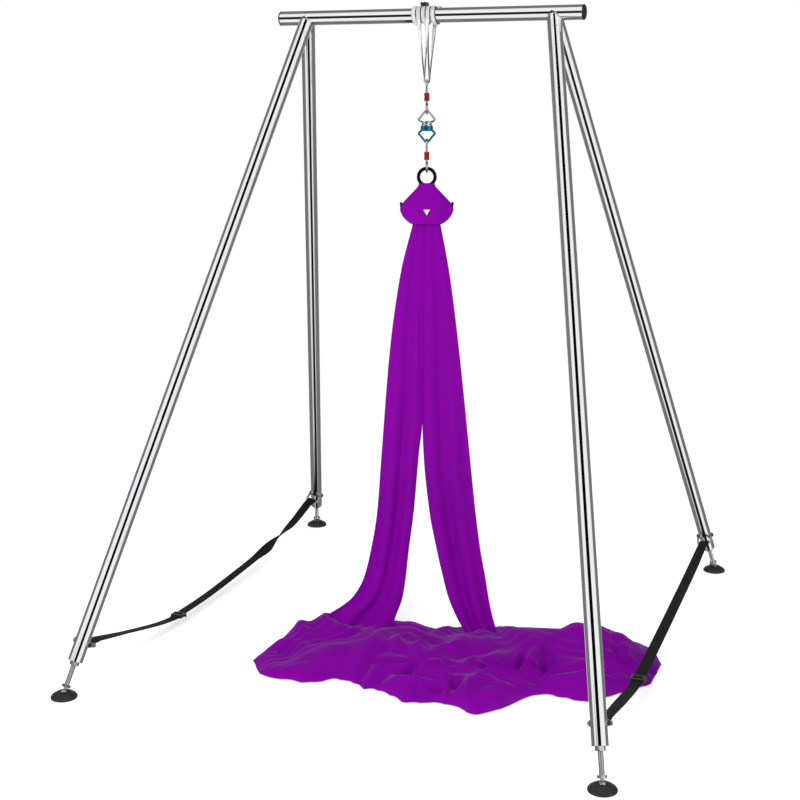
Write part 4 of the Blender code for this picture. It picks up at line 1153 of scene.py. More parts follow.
@dataclass
class Sockets:
    """Welded sockets under the bar, with the spigots that go up into the legs."""

    spigot_length: float = 0.100
    spigot_wall: float = 0.004
    spigot_edge: float = 0.002
    bead: float = 0.0022
    bead_lift: float = 0.0006
    sides: int = 96

    def stub(self, side: Side, row: Row) -> bpy.types.Object:
        """One stub and its spigot, from inside the bar down the leg.

        Args:
            side: Left or right.
            row: Front or back.

        Returns:
            The stub.
        """
        radius = STANCE.tube_radius
        spigot = STANCE.bore - SLIDE
        bore = spigot - self.spigot_wall
        seam = STANCE.seam
        tip = seam + self.spigot_length
        profile = [(0.0, radius * 0.25), (radius * 0.72, radius * 0.25), (radius, radius * 0.62)]
        profile += [(radius, seam - EDGE), (radius - EDGE, seam), (spigot, seam)]
        profile += [(spigot, tip - self.spigot_edge), (spigot - self.spigot_edge, tip), (bore, tip)]
        profile += [(bore, seam + GAP), (0.0, seam + GAP)]
        matrix, length = STANCE.leg(side, row)
        down = matrix @ shift(0.0, 0.0, length) @ Matrix.Rotation(math.pi, 4, "X")
        return place(turned(f"stub_{row.label}", profile, self.sides), down)

    def weld_line(self, side: Side, reach: float) -> list[Vector]:
        """Closed line where the two stubs meet the bar's wall.

        Args:
            side: Left or right pair.
            reach: Radius of the cylinder round the bar's axis on which the line lies.

        Returns:
            Points round the line.
        """
        radius = STANCE.tube_radius
        line = []
        for row in Row:
            matrix, length = STANCE.leg(side, row)
            top = matrix @ Vector((0.0, 0.0, length))
            across, inward, up = (matrix.col[i].xyz for i in range(3))
            square = up.y**2 + up.z**2
            for k in range(-70, 251, 5):
                turn = math.radians(180.0 + k)
                rim = across * (radius * math.cos(turn)) + inward * (radius * math.sin(turn))
                slant = -2.0 * (up.y * rim.y + up.z * rim.z)
                inside = slant * slant - 4.0 * square * (rim.y**2 + rim.z**2 - reach**2)
                if inside < 0.0:
                    continue
                point = top - up * ((-slant + math.sqrt(inside)) / (2.0 * square)) + rim
                if (point.y - top.y) * row.value >= -0.0002:
                    line.append(point)
        middle = sum(line, Vector()) / len(line)
        return sorted(line, key=lambda p: math.atan2(p.y - middle.y, p.x - middle.x))

    def build(self) -> None:
        """Build and dress both sockets."""
        reach = 4.0 * STANCE.tube_radius
        for side in Side:
            socket = combine(self.stub(side, Row.FRONT), self.stub(side, Row.BACK), Cut.JOIN)
            saddle = turned("saddle", rod(STANCE.tube_radius + GAP, -reach, reach), self.sides)
            place(saddle, shift(side.value * STANCE.spread_at_bar, 0.0, STANCE.bar_height) @ ALONG_X)
            combine(socket, saddle, Cut.AWAY)
            fit(socket, CHROME, "frame", f"leg_socket_{side.label}", f"welded_socket_{side.label}")
            line = self.weld_line(side, STANCE.tube_radius + self.bead_lift)
            fit(swept(f"weld_bead_{side.label}", line, self.bead, 12, cyclic=True), CHROME, "frame")


@dataclass
class Legs:
    """Four leg tubes with their threaded plugs."""

    rim: float = 0.0009
    steps: int = 48
    sides: int = 112
    plug_length: float = 0.110
    plug_edge: float = 0.0006
    collar_flats: float = 0.036
    collar_height: float = 0.018
    thread: float = 0.0116
    countersink: float = 0.0014

    def build(self) -> None:
        """Model one leg and one plug, and copy them to the four corners."""
        high = STANCE.leg(Side.LEFT, Row.FRONT)[1] - STANCE.seam - GAP
        profile = tube(STANCE.bore, STANCE.tube_radius, STANCE.leg_end, high, self.rim, self.steps)
        leg = turned("leg_pattern", profile, self.sides, ring=True)
        copy_to_legs(Pattern(leg, "chrome_leg_{}", CHROME, "frame", "leg_{}"),
                     Pattern(self.plug(), "threaded_plug_{}", ZINC, "frame", "leg_plug_{}"))

    def plug(self) -> bpy.types.Object:
        """Threaded plug whose hexagon stands below the tube.

        Returns:
            The plug.
        """
        radius, low = STANCE.bore - SLIDE, STANCE.leg_end
        top, foot = low + self.plug_length, low - self.collar_height
        profile = [(0.0, low), (radius - self.plug_edge, low), (radius, low + self.plug_edge)]
        plug = turned("plug_pattern", profile + [(radius, top), (0.0, top)], 72)
        corner, shoulder = self.collar_flats / math.sqrt(3.0), low + 0.5 * self.collar_height
        cone = [(0.0, foot), (corner - 0.0026, foot), (corner + 0.0002, foot + 0.0020)]
        cone += [(corner + 0.0002, shoulder), (0.0, shoulder)]
        combine(plug, hexagon("collar", self.collar_flats, foot, low + self.collar_height, cone), Cut.JOIN)
        mouth, past = self.thread + self.countersink, low + 2.0 * self.plug_length
        bore = [(0.0, foot - 0.01), (mouth, foot - 0.01), (mouth, foot)]
        bore += [(self.thread, foot + self.countersink), (self.thread, past), (0.0, past)]
        combine(plug, turned("thread_bore", bore, 48), Cut.AWAY)
        return soften(plug, 0.0005)


@dataclass
class Feet:
    """Levelling feet: ball, threaded stud with a hexagon, and domed rubber pad."""

    pin_radius: float = 0.0065
    neck_radius: float = 0.0075
    stud_radius: float = 0.011
    engagement: float = 0.045
    hex_flats: float = 0.034
    hex_height: float = 0.012
    hex_start: float = 0.024
    pitch: float = 0.0025
    thread_depth: float = 0.0011
    thread_steps: int = 5
    pad_radius: float = 0.0575
    pad_rim: float = 0.0075
    opening: float = 65.0
    clearance: float = 0.0008

    @property
    def flat(self) -> float:
        """Height of the ball's flats above and below its middle."""
        return math.sqrt(STANCE.ball_radius**2 - (self.pin_radius + GAP) ** 2)

    def threaded(self, low: float, high: float) -> bpy.types.Object:
        """Threaded rod: a turned rod whose points step in along a helix.

        Args:
            low: Lower end.
            high: Upper end, with a lead.

        Returns:
            The rod.
        """
        count = int((high - low) / self.pitch * self.thread_steps)
        wall = [(self.stud_radius, height) for height in spread(high - low, count, low)]
        thread = turned("thread", [(0.0, low), *wall, (0.0, high)], 36)
        for vertex in thread.data.vertices:
            x, y, z = vertex.co
            radius = math.hypot(x, y)
            if radius < self.stud_radius * 0.9:
                continue
            phase = (z / self.pitch - math.atan2(y, x) / FULL_TURN) % 1.0
            cut = max(0.0, 1.0 - abs(phase - 0.5) * 2.6) * self.thread_depth
            cut *= eased((z - low) / 0.002)
            tip = max(0.0, 1.0 - (high - z) / 0.003) * 0.0015
            shrink = (self.stud_radius - cut - tip) / radius
            vertex.co.x *= shrink
            vertex.co.y *= shrink
        return thread

    def stud(self) -> bpy.types.Object:
        """Stud with its pin, neck, hexagon and thread.

        Returns:
            The stud.
        """
        flat, start, top = self.flat, self.hex_start, self.hex_start + self.hex_height
        neck, land = self.neck_radius, self.neck_radius + 0.0012
        profile = [(0.0, -flat + GAP), (self.pin_radius, -flat + GAP), (self.pin_radius, flat + 0.0005)]
        profile += [(neck, flat + 0.0005), (neck, start - 0.001), (land, start + 0.0005), (land, top - 0.001)]
        shank = turned("neck", profile + [(0.0, top - 0.001)], 48)
        corner = self.hex_flats / math.sqrt(3.0)
        cone = [(0.0, start), (corner - 0.0026, start), (corner + 0.0002, start + 0.0017)]
        cone += [(corner + 0.0002, top - 0.0017), (corner - 0.0026, top), (0.0, top)]
        nut = soften(hexagon("hexagon", self.hex_flats, start, top, cone), 0.0004)
        thread = self.threaded(top - 0.002, STANCE.leg_end + self.engagement)
        return joined("stud_pattern", nut, shank, thread)

    def pad(self) -> bpy.types.Object:
        """Domed rubber pad with a lipped socket and a ribbed rim.

        Returns:
            The pad.
        """
        radius, ball = self.pad_radius, STANCE.ball_radius
        floor = -STANCE.ball_height
        rim_top = floor + self.pad_rim
        profile = arc((0.0, 0.0), ball + self.clearance, 90.0 - self.opening, -90.0, 14)[::-1]
        profile[0] = (0.0, profile[0][1])
        lip_radius, lip = profile[-1]
        collar = lip_radius + 0.0042
        profile += [(lip_radius + 0.0008, lip + 0.0010), (collar - 0.0008, lip + 0.0008), (collar, lip)]
        profile.append((collar + 0.0006, lip - 0.0024))
        dome = [profile[-1], (0.52 * radius, 0.28 * ball), (0.74 * radius, rim_top + 0.70 * ball)]
        dome += [(0.91 * radius, rim_top + 0.34 * ball), (0.985 * radius, rim_top)]
        profile += [tuple(point) for point in smooth_curve([Vector(point) for point in dome], 5)[1:]]
        profile += [(radius - 0.0004, rim_top - 0.0004), (radius, rim_top - 0.0012)]
        profile += [(radius, floor + 0.0042), (radius - 0.0009, floor + 0.0036)]
        profile += [(radius - 0.0009, floor + 0.0028), (radius, floor + 0.0022)]
        profile += [(radius, floor + 0.0008), (radius - 0.0008, floor), (0.0, floor)]
        return turned("pad_pattern", profile, 96)

    def build(self) -> None:
        """Model each piece once and copy it to the four feet."""
        edge = math.degrees(math.atan2(self.flat, self.pin_radius + GAP))
        ball = turned("ball_pattern", arc((0.0, 0.0), STANCE.ball_radius, -edge, edge, 20), 64, ring=True)
        copy_to_legs(Pattern(ball, "steel_ball_{}", ZINC, "foot_ball_{}", "foot_ball_{}"),
                     Pattern(self.stud(), "levelling_stud_{}", ZINC, "foot_stud_{}", "foot_stud_{}"),
                     Pattern(self.pad(), "rubber_pad_{}", RUBBER, "foot_pad_{}", "foot_pad_{}", upright=True))


@dataclass
class Brackets:
    """Stirrups for the straps, and the cross bolts that hold them."""

    above_end: float = 0.085
    bolt_radius: float = 0.005
    head_radius: float = 0.009
    head_height: float = 0.006
    ear: float = 0.004
    bolt_end: float = 0.013
    bar_end: float = 0.0085
    reach: float = 0.058
    bar_radius: float = 0.005

    @property
    def bolt_z(self) -> float:
        """Height of the bolt up the leg from the ball's centre."""
        return STANCE.leg_end + self.above_end

    def ear_plate(self, low: float, high: float) -> bpy.types.Object:
        """Teardrop plate: two discs and the skin round them.

        Args:
            low: Lower end along the bolt.
            high: Upper end along the bolt.

        Returns:
            The plate.
        """
        discs = []
        for radius, out in ((self.bolt_end, 0.0), (self.bar_end, self.reach)):
            disc = cylinder("disc", 64, radius, (low - high) / 2.0, (high - low) / 2.0)
            discs.append(place(disc, shift((low + high) / 2.0, out, self.bolt_z) @ ALONG_X))
        plate = joined("ear_plate", *discs)
        bpy.ops.object.mode_set(mode="EDIT")
        bpy.ops.mesh.select_all(action="SELECT")
        bpy.ops.mesh.convex_hull()
        bpy.ops.object.mode_set(mode="OBJECT")
        return soften(plate, 0.0007, angle=50.0)

    def stirrup(self) -> bpy.types.Object:
        """Two ears, the crossbar and its peened ends.

        Returns:
            The stirrup.
        """
        inner = STANCE.tube_radius + GAP
        outer = inner + self.ear
        left, right = self.ear_plate(-outer, -inner), self.ear_plate(inner, outer)
        end = outer + 0.0012
        bar = turned("crossbar", rod(self.bar_radius, -end, end, EDGE), 48)
        place(bar, shift(0.0, self.reach, self.bolt_z) @ ALONG_X)
        return joined("stirrup_pattern", left, right, bar)

    def bolt(self) -> bpy.types.Object:
        """Button-head bolt with a hexagon recess, its nut and its free end.

        Returns:
            The bolt.
        """
        head, radius, shaft = self.head_height, self.head_radius, self.bolt_radius
        seat = STANCE.tube_radius + 2.0 * GAP + self.ear
        top = seat + head
        profile = [(0.0, -seat - head)]
        for t in quarter_turn(9):
            profile.append((radius * (0.55 + 0.45 * math.sin(t)), -seat - head * (0.30 + 0.70 * math.cos(t))))
        profile += [(radius, -seat), (shaft, -seat), (shaft, top + 0.0017), (shaft - EDGE, top + 0.0025)]
        bolt = turned("bolt_pattern", profile + [(0.0, top + 0.0025)], 48)
        combine(bolt, hexagon("recess", 0.006, -seat - head - 0.01, -seat - head + 0.0032), Cut.AWAY)
        corner = 2.0 * radius / math.sqrt(3.0)
        cone = [(0.0, seat), (corner, seat), (corner, top - 0.0012), (corner - 0.0016, top), (0.0, top)]
        nut = soften(hexagon("nut", 2.0 * radius, seat, top, cone, 48), 0.0003)
        return place(joined("bolt_pattern", bolt, nut), shift(0.0, 0.0, self.bolt_z) @ ALONG_X)

    def build(self) -> None:
        """Model one stirrup and one bolt, and copy them to the four legs."""
        copy_to_legs(Pattern(self.stirrup(), "strap_stirrup_{}", ZINC, "frame", "strap_bracket_{}"),
                     Pattern(self.bolt(), "button_bolt_{}", DARK, "frame", "cross_bolt_{}"))


# Straps


@dataclass
class Straps:
    """Flat webbing straps with sewn loops, and their cam buckles."""

    brackets: Brackets
    width: float = 0.050
    thickness: float = 0.0025
    tail: float = 0.055
    sewn_gap: float = 0.0008
    slot_clearance: float = 0.0008
    buckle_length: float = 0.044
    buckle_side: float = 0.007
    buckle_plate: float = 0.0045
    lever_length: float = 0.034
    lever_thickness: float = 0.003
    lever_pin: float = 0.003
    lever_edge: float = 0.0004
    cheek: float = 0.0045
    grip: float = 0.0008

    BEFORE = {Side.LEFT: [(-0.80, 0.118), (-0.60, 0.074)], Side.RIGHT: [(-0.82, 0.146), (-0.68, 0.124)]}
    AFTER = {
        Side.LEFT: [(-0.10, 0.052), (0.25, 0.068), (0.60, 0.092), (0.90, 0.136)],
        Side.RIGHT: [(-0.25, 0.117), (0.10, 0.133), (0.43, 0.152), (0.79, 0.174)],
    }
    BUCKLES = {Side.LEFT: (-0.404, 0.052), Side.RIGHT: (-0.517, 0.112)}
    TWISTS = {Side.LEFT: (0.40, 0.92), Side.RIGHT: None}
    # Places across the webbing, and the share of its thickness at each
    COLUMNS = [-1.0, -0.985, -0.94, -0.8, -0.5, -0.2, 0.2, 0.5, 0.8, 0.94, 0.985, 1.0]
    HALVES = [0.35, 0.35, 0.75, 1.0, 1.0, 1.0, 1.0, 1.0, 1.0, 0.75, 0.35, 0.35]

    @property
    def slot(self) -> tuple[float, float]:
        """Half the width and half the height of a buckle's slot."""
        return self.width / 2.0 + self.slot_clearance, self.thickness / 2.0 + self.slot_clearance

    @property
    def hinge(self) -> tuple[float, float, float]:
        """Middle of a lever's hinge, seen from the buckle's middle."""
        bottom = -self.slot[1] - self.buckle_plate
        return 0.0, self.buckle_length / 2.0 - 2.0 * self.lever_pin, bottom - self.lever_pin - GAP

    def centre(self, side: Side) -> Vector:
        """Middle of a buckle."""
        return Vector((self.crossbar(side, Row.FRONT)[0].x, *self.BUCKLES[side]))

    def crossbar(self, side: Side, row: Row) -> tuple[Vector, Vector]:
        """Place of a stirrup's crossbar.

        Args:
            side: Left or right.
            row: Front or back.

        Returns:
            Its middle, and the way it runs toward +X.
        """
        matrix, _ = STANCE.leg(side, row)
        centre = matrix @ Vector((0.0, self.brackets.reach, self.brackets.bolt_z))
        run = matrix.col[0].xyz
        return centre, run if run.x > 0.0 else -run

    def end(self, side: Side, row: Row, toward: tuple[float, float]) -> list[Vector]:
        """Loop at one end of a strap.

        Args:
            side: Left or right.
            row: Front or back.
            toward: Next point of the strap, as (y, z).

        Returns:
            Points from the sewn tail round the crossbar and out along the main run.
        """
        centre, run = self.crossbar(side, row)
        forward = Vector((0.0, 1.0, 0.0))
        up = run.cross(forward)
        heading = Vector((centre.x, *toward)) - centre
        along = Vector((heading.dot(forward), heading.dot(up))).normalized()
        across = Vector((-along.y, along.x)) * math.copysign(1.0, along.x)
        loop = self.brackets.bar_radius + GAP + self.thickness / 2.0 + SLIDE
        under = loop - self.thickness - self.sewn_gap
        flat = [(self.tail, under), (self.tail * 0.74, under), (self.tail * 0.40, under - self.sewn_gap)]
        flat += arc((0.0, 0.0), loop, -64.0, -270.0, 8)
        flat += [(self.tail * 0.5, loop), (self.tail * 1.15, loop)]
        found = [along * a + across * b for a, b in flat]
        return [centre + forward * point.x + up * point.y for point in found]

    def path(self, side: Side) -> list[Vector]:
        """Centre line of a strap.

        Args:
            side: Left or right.

        Returns:
            Points from sewn tail to sewn tail.
        """
        before, after = self.BEFORE[side], self.AFTER[side]
        start = self.end(side, Row.FRONT, before[0])
        finish_end = self.end(side, Row.BACK, after[-1])[::-1]
        x = self.crossbar(side, Row.FRONT)[0].x
        y, z = self.BUCKLES[side]
        level = [(y + self.buckle_length * step, z) for step in (-1.4, -0.7, 0.0, 0.7, 1.4)]
        route = [Vector((x, *point)) for point in [*before, *level, *after]]
        middle = smooth_curve([start[-1], *route, finish_end[0]], 3)[1:-1]
        return start + middle + finish_end

    def directions(self, side: Side, points: Sequence[Vector]) -> list[Vector]:
        """Way that the webbing's width runs.

        Args:
            side: Left or right.
            points: Points of the centre line.

        Returns:
            The way at each point.
        """
        front, front_run = self.crossbar(side, Row.FRONT)
        back, back_run = self.crossbar(side, Row.BACK)
        straight, settle = 1.2 * self.tail, 4.0 * self.tail
        twist = self.TWISTS[side]
        found = []
        for point, along in zip(points, tangents(points)):
            near_front = min(max((point.y - front.y - straight) / settle, 0.0), 1.0)
            near_back = min(max((back.y - point.y - straight) / settle, 0.0), 1.0)
            run, level = (front_run, near_front) if near_front < 1.0 else (back_run, near_back)
            wide = run.lerp(LEVEL_X, level)
            wide = (wide - along * wide.dot(along)).normalized()
            if twist:
                share = eased((point.y - twist[0]) / (twist[1] - twist[0]))
                wide = Matrix.Rotation(math.pi * share, 3, along) @ wide
            found.append(wide)
        return found

    def webbing(self, side: Side, points: Sequence[Vector]) -> bpy.types.Object:
        """Ribbon of webbing with rounded selvedges.

        Args:
            side: Left or right.
            points: Points of the centre line.

        Returns:
            The webbing.
        """
        half, thin = self.width / 2.0, self.thickness / 2.0
        rings = []
        for point, along, wide in zip(points, tangents(points), self.directions(side, points)):
            other = along.cross(wide)
            middles = [point + wide * (share * half) for share in self.COLUMNS]
            offsets = [other * (thin * share) for share in self.HALVES]
            bottom = [middle - offset for middle, offset in zip(middles, offsets)]
            rings.append([middle + offset for middle, offset in zip(middles, offsets)] + bottom[::-1])
        across = [share * half for share in (*self.COLUMNS, *self.COLUMNS[::-1], self.COLUMNS[0])]
        return lofted(f"webbing_strap_{side.label}", rings, closed=True, caps=True,
                      uv=(lengths_along(points), across))

    def buckle(self, side: Side) -> bpy.types.Object:
        """Cam buckle's frame, with its window and the cheeks of its hinge.

        Args:
            side: Left or right.

        Returns:
            The frame.
        """
        half_slot, half_height = self.slot
        wide, high = half_slot + self.buckle_side, half_height + self.buckle_plate
        long = self.buckle_length / 2.0
        body = soften(box("buckle", (-wide, -long, -high), (wide, long, high)), 0.0028, 4)
        slot = box("slot", (-half_slot, -long * 2.0, -half_height), (half_slot, long * 2.0, half_height))
        combine(body, slot, Cut.AWAY)
        window = box("window", (-half_slot * 0.8, -long * 0.55, 0.0),
                     (half_slot * 0.8, long * 0.40, half_height * 2.0 + self.buckle_plate))
        combine(body, soften(window, 0.002, 3), Cut.AWAY)
        _, hinge_y, hinge_z = self.hinge
        for sign in (-1.0, 1.0):
            near, far = sorted((sign * (wide - self.buckle_side / 2.0), sign * wide))
            cheek = box("cheek", (near, hinge_y - self.cheek, hinge_z - self.cheek),
                        (far, hinge_y + self.cheek, -high + self.buckle_plate / 2.0))
            combine(body, cheek, Cut.JOIN)
        soften(body, 0.0006, 2, 40.0)
        return place(body, Matrix.Translation(self.centre(side)))

    def lever(self, side: Side) -> bpy.types.Object:
        """Cam lever with its barrel, its pin and its ribbed grip.

        Args:
            side: Left or right.

        Returns:
            The lever.
        """
        outside = self.slot[0] + self.buckle_side
        knuckle = outside - self.buckle_side / 2.0 - SLIDE
        pin, under = self.lever_pin, -self.lever_pin * 0.9
        barrel = place(turned("barrel", rod(pin, -knuckle, knuckle, self.lever_edge), 32), ALONG_X)
        plate = box("plate", (-knuckle * 0.86, -self.lever_length, under),
                    (knuckle * 0.86, 0.0, under + self.lever_thickness))
        combine(barrel, soften(plate, 0.0012, 3), Cut.JOIN)
        grips = []
        for rib in range(4):
            at = -self.lever_length + 0.003 + rib * 0.0035
            path = [Vector((x * knuckle * 0.7, at, under)) for x in (-1.0, 1.0)]
            grips.append(swept("grip", path, self.grip, 12))
        pins = place(turned("pin", rod(pin * 0.5, -outside, outside), 24), ALONG_X)
        lever = joined("lever", barrel, pins, *grips)
        return place(lever, Matrix.Translation(self.centre(side) + Vector(self.hinge)))

    def build(self) -> None:
        """Build and dress both straps and their buckles."""
        for side in Side:
            points = smooth_curve(self.path(side), 3)
            length = lengths_along(points)[-1]
            strap = self.webbing(side, points)
            fit(strap, WEBBING, "frame", f"strap_{side.label}", angle=60.0)
            buckle, lever = self.buckle(side), self.lever(side)
            fit(buckle, DARK, "frame", f"strap_buckle_{side.label}", f"cam_buckle_{side.label}")
            node = f"buckle_lever_{side.label}"
            fit(lever, DARK, node, node, f"cam_lever_{side.label}")
            log.info("strap %s: %.3f m", side.label, length)


# Hanging hardware


@dataclass(frozen=True)
class Hanging:
    """Heights and turn of everything under the bar, worked out from the top down."""

    turn: float = 20.0
    sling_drop: float = 0.2837
    carabiner_height: float = 0.145
    carabiner_width: float = 0.066
    carabiner_rod: float = 0.006
    bail_rod: float = 0.005
    upper_bail_drop: float = 0.0486
    lower_bail_drop: float = 0.0490
    upper_hub_height: float = 0.020
    lower_hub_height: float = 0.022
    eight_rod: float = 0.008
    small_ring: float = 0.038
    large_ring: float = 0.074
    ring_spacing: float = 0.0115

    @property
    def turned_frame(self) -> Matrix:
        """Turn about the vertical."""
        return Matrix.Rotation(math.radians(self.turn), 4, "Z")

    @property
    def sling_z(self) -> float:
        """Height of the upper carabiner's top rod."""
        return STANCE.bar_height - self.sling_drop

    @property
    def upper_apex(self) -> float:
        """Height of the upper bail's crown."""
        return self.sling_z - self.carabiner_height + self.carabiner_rod + self.bail_rod + GAP

    @property
    def hub_top(self) -> float:
        """Top of the upper hub."""
        return self.upper_apex - self.upper_bail_drop

    @property
    def middle(self) -> float:
        """Height at which the two hubs meet."""
        return self.hub_top - self.upper_hub_height

    @property
    def hub_bottom(self) -> float:
        """Bottom of the lower hub."""
        return self.middle - self.lower_hub_height

    @property
    def lower_apex(self) -> float:
        """Height of the lower bail's crown."""
        return self.hub_bottom - self.lower_bail_drop

    @property
    def second_rod(self) -> float:
        """Height of the lower carabiner's top rod."""
        return self.lower_apex + self.bail_rod + self.carabiner_rod + GAP

    @property
    def small_z(self) -> float:
        """Height of the small ring's centre."""
        top = self.second_rod - self.carabiner_height + self.carabiner_rod + self.eight_rod + GAP
        return top - self.small_ring

    @property
    def large_z(self) -> float:
        """Height of the large ring's centre."""
        return self.small_z - self.small_ring - self.large_ring - self.ring_spacing


HANG = Hanging()


Station = tuple[Vector, Vector, float]


@dataclass
class Sling:
    """Tape sling wound round the bar, with two long bights and a knot on top."""

    pitch: float = 0.0225
    turns: int = 5
    long_turns: tuple[int, int] = (1, 3)
    band_half_width: float = 0.01025
    half_thickness: float = 0.004
    seat: float = 0.0008
    strand_half_width: float = 0.0052
    taper: float = 1.5
    bight_offset: float = 0.008
    bight_clearance: float = 0.0012
    per_turn: int = 24
    strand_points: int = 6
    finer: int = 3
    sides: int = 20
    knot_steps: int = 120
    knot_sides: int = 16
    knot_scale: float = 0.006
    knot_rise: float = 0.0055
    knot_radius: float = 0.0042
    knot_seat: float = 0.0021
    knot_x: float = -0.013

    @property
    def wound(self) -> float:
        """Distance of the tape's middle from the bar's axis."""
        return STANCE.tube_radius + self.seat + self.half_thickness

    def on_bar(self, number: int, angle: float) -> Station:
        """Station on a turn round the bar.

        Args:
            number: Number of the turn.
            angle: Angle from its top.

        Returns:
            Its centre, the way its width runs and its half width.
        """
        x = -self.pitch * self.turns / 2.0 + self.pitch * (number + angle / FULL_TURN)
        spot = Vector((x, -self.wound * math.sin(angle), STANCE.bar_height + self.wound * math.cos(angle)))
        return spot, LEVEL_X, self.band_half_width

    def strand(self, top: Vector, foot: Vector, rod_way: Vector) -> list[Station]:
        """One hanging strand.

        Args:
            top: Its upper end on the bar.
            foot: Its lower end at the rod.
            rod_way: Way that the width runs there.

        Returns:
            Stations down it, without its two ends.
        """
        found = []
        for share in spread(1.0, self.strand_points)[1:-1]:
            thinner = (self.strand_half_width - self.band_half_width) * min(share * self.taper, 1.0)
            wide = LEVEL_X.lerp(rod_way, eased(share))
            found.append((top.lerp(foot, share), wide, self.band_half_width + thinner))
        return found

    def path(self) -> list[Station]:
        """Run of the sling.

        Returns:
            Stations from one end to the other.
        """
        over_rod = HANG.turned_frame.to_3x3() @ LEVEL_X
        rod_way = over_rod.cross(UP)
        bight = HANG.carabiner_rod + self.bight_clearance + self.half_thickness
        bend = HANG.carabiner_width / 2.0
        drop = bend - math.sqrt(bend**2 - self.bight_offset**2)
        front, back = self.per_turn // 4, 3 * self.per_turn // 4
        found = []
        for turn in range(self.turns):
            round_bar = [self.on_bar(turn, angle) for angle in spread(FULL_TURN, self.per_turn)[:-1]]
            if turn not in self.long_turns:
                found += round_bar
                continue
            aside = -self.bight_offset if turn == self.long_turns[0] else self.bight_offset
            centre = rod_way * aside + Vector((0.0, 0.0, HANG.sling_z - drop))
            found += round_bar[:front + 1]
            found += self.strand(round_bar[front][0], centre - over_rod * bight, rod_way)
            for k in range(7):
                angle = math.pi + math.pi * k / 6.0
                spot = centre + over_rod * (bight * math.cos(angle)) + UP * (bight * math.sin(angle))
                found.append((spot, rod_way, self.strand_half_width))
            found += self.strand(round_bar[back][0], centre + over_rod * bight, rod_way)[::-1]
            found += round_bar[back:]
        return [*found, self.on_bar(self.turns, 0.0)]

    def tape(self, points: Sequence[Vector], wides: Sequence[Vector],
             halves: Sequence[Vector]) -> bpy.types.Object:
        """Tape of the sling.

        Args:
            points: Points of its centre line.
            wides: Way that its width runs at each point.
            halves: Half width at each point.

        Returns:
            The tape.
        """
        turns = spread(FULL_TURN, self.sides)
        rings = []
        for point, along, wide, half in zip(points, tangents(points), wides, halves):
            across = (wide - along * wide.dot(along)).normalized()
            other = along.cross(across)
            ring = []
            for turn in turns[:-1]:
                thick = self.half_thickness * swelled(math.sin(turn), 0.9)
                ring.append(point + across * (half.x * swelled(math.cos(turn), 0.8)) + other * thick)
            rings.append(ring)
        columns = [self.band_half_width * math.cos(turn) for turn in turns]
        return lofted("tape_sling", rings, closed=True, caps=True, uv=(lengths_along(points), columns))

    def build(self) -> None:
        """Build and dress the sling and its knot."""
        spots, wides, halves = zip(*self.path())
        points = smooth_curve(spots, self.finer)
        halves = smooth_curve([Vector((half, 0.0)) for half in halves], self.finer)
        sling = self.tape(points, smooth_curve(wides, self.finer), halves)
        fit(sling, ROPE, "sling", "sling", angle=60.0)
        knot = self.knot()
        # The knot's tape carries painted shade instead of the sling's pale colour
        fit(knot, KNOT_TAPE_SHADE, "sling", "sling_knot", angle=60.0)

    def knot(self) -> bpy.types.Object:
        """Trefoil knot of the sling's tape, drawn tight on top of the bar.

        Returns:
            The knot.
        """
        steps, sides, size = self.knot_steps, self.knot_sides, self.knot_scale
        top = STANCE.tube_radius + self.seat + 2.0 * self.half_thickness
        height = STANCE.bar_height + top + self.knot_radius + self.knot_rise - self.knot_seat
        points = []
        for t in spread(FULL_TURN, steps):
            x = size * (math.sin(t) + 2.0 * math.sin(2.0 * t))
            y = size * (math.cos(t) - 2.0 * math.cos(2.0 * t))
            points.append(Vector((self.knot_x + x, y, height - self.knot_rise * math.sin(3.0 * t))))
        rings = []
        for k, point in enumerate(points):
            along = (points[(k + 1) % steps] - points[(k - 1) % steps]).normalized()
            across = (UP - along * along.z).normalized()
            other = along.cross(across)
            rings.append([point + (across * math.cos(t) + other * math.sin(t)) * self.knot_radius
                          for t in spread(FULL_TURN, sides)[:-1]])
        columns = [self.knot_radius * (k / sides - 0.5) for k in range(sides + 1)]
        knot = lofted("drawn_knot", rings, closed=True, uv=(lengths_along(points), columns))
        return weld(knot, outward=False)


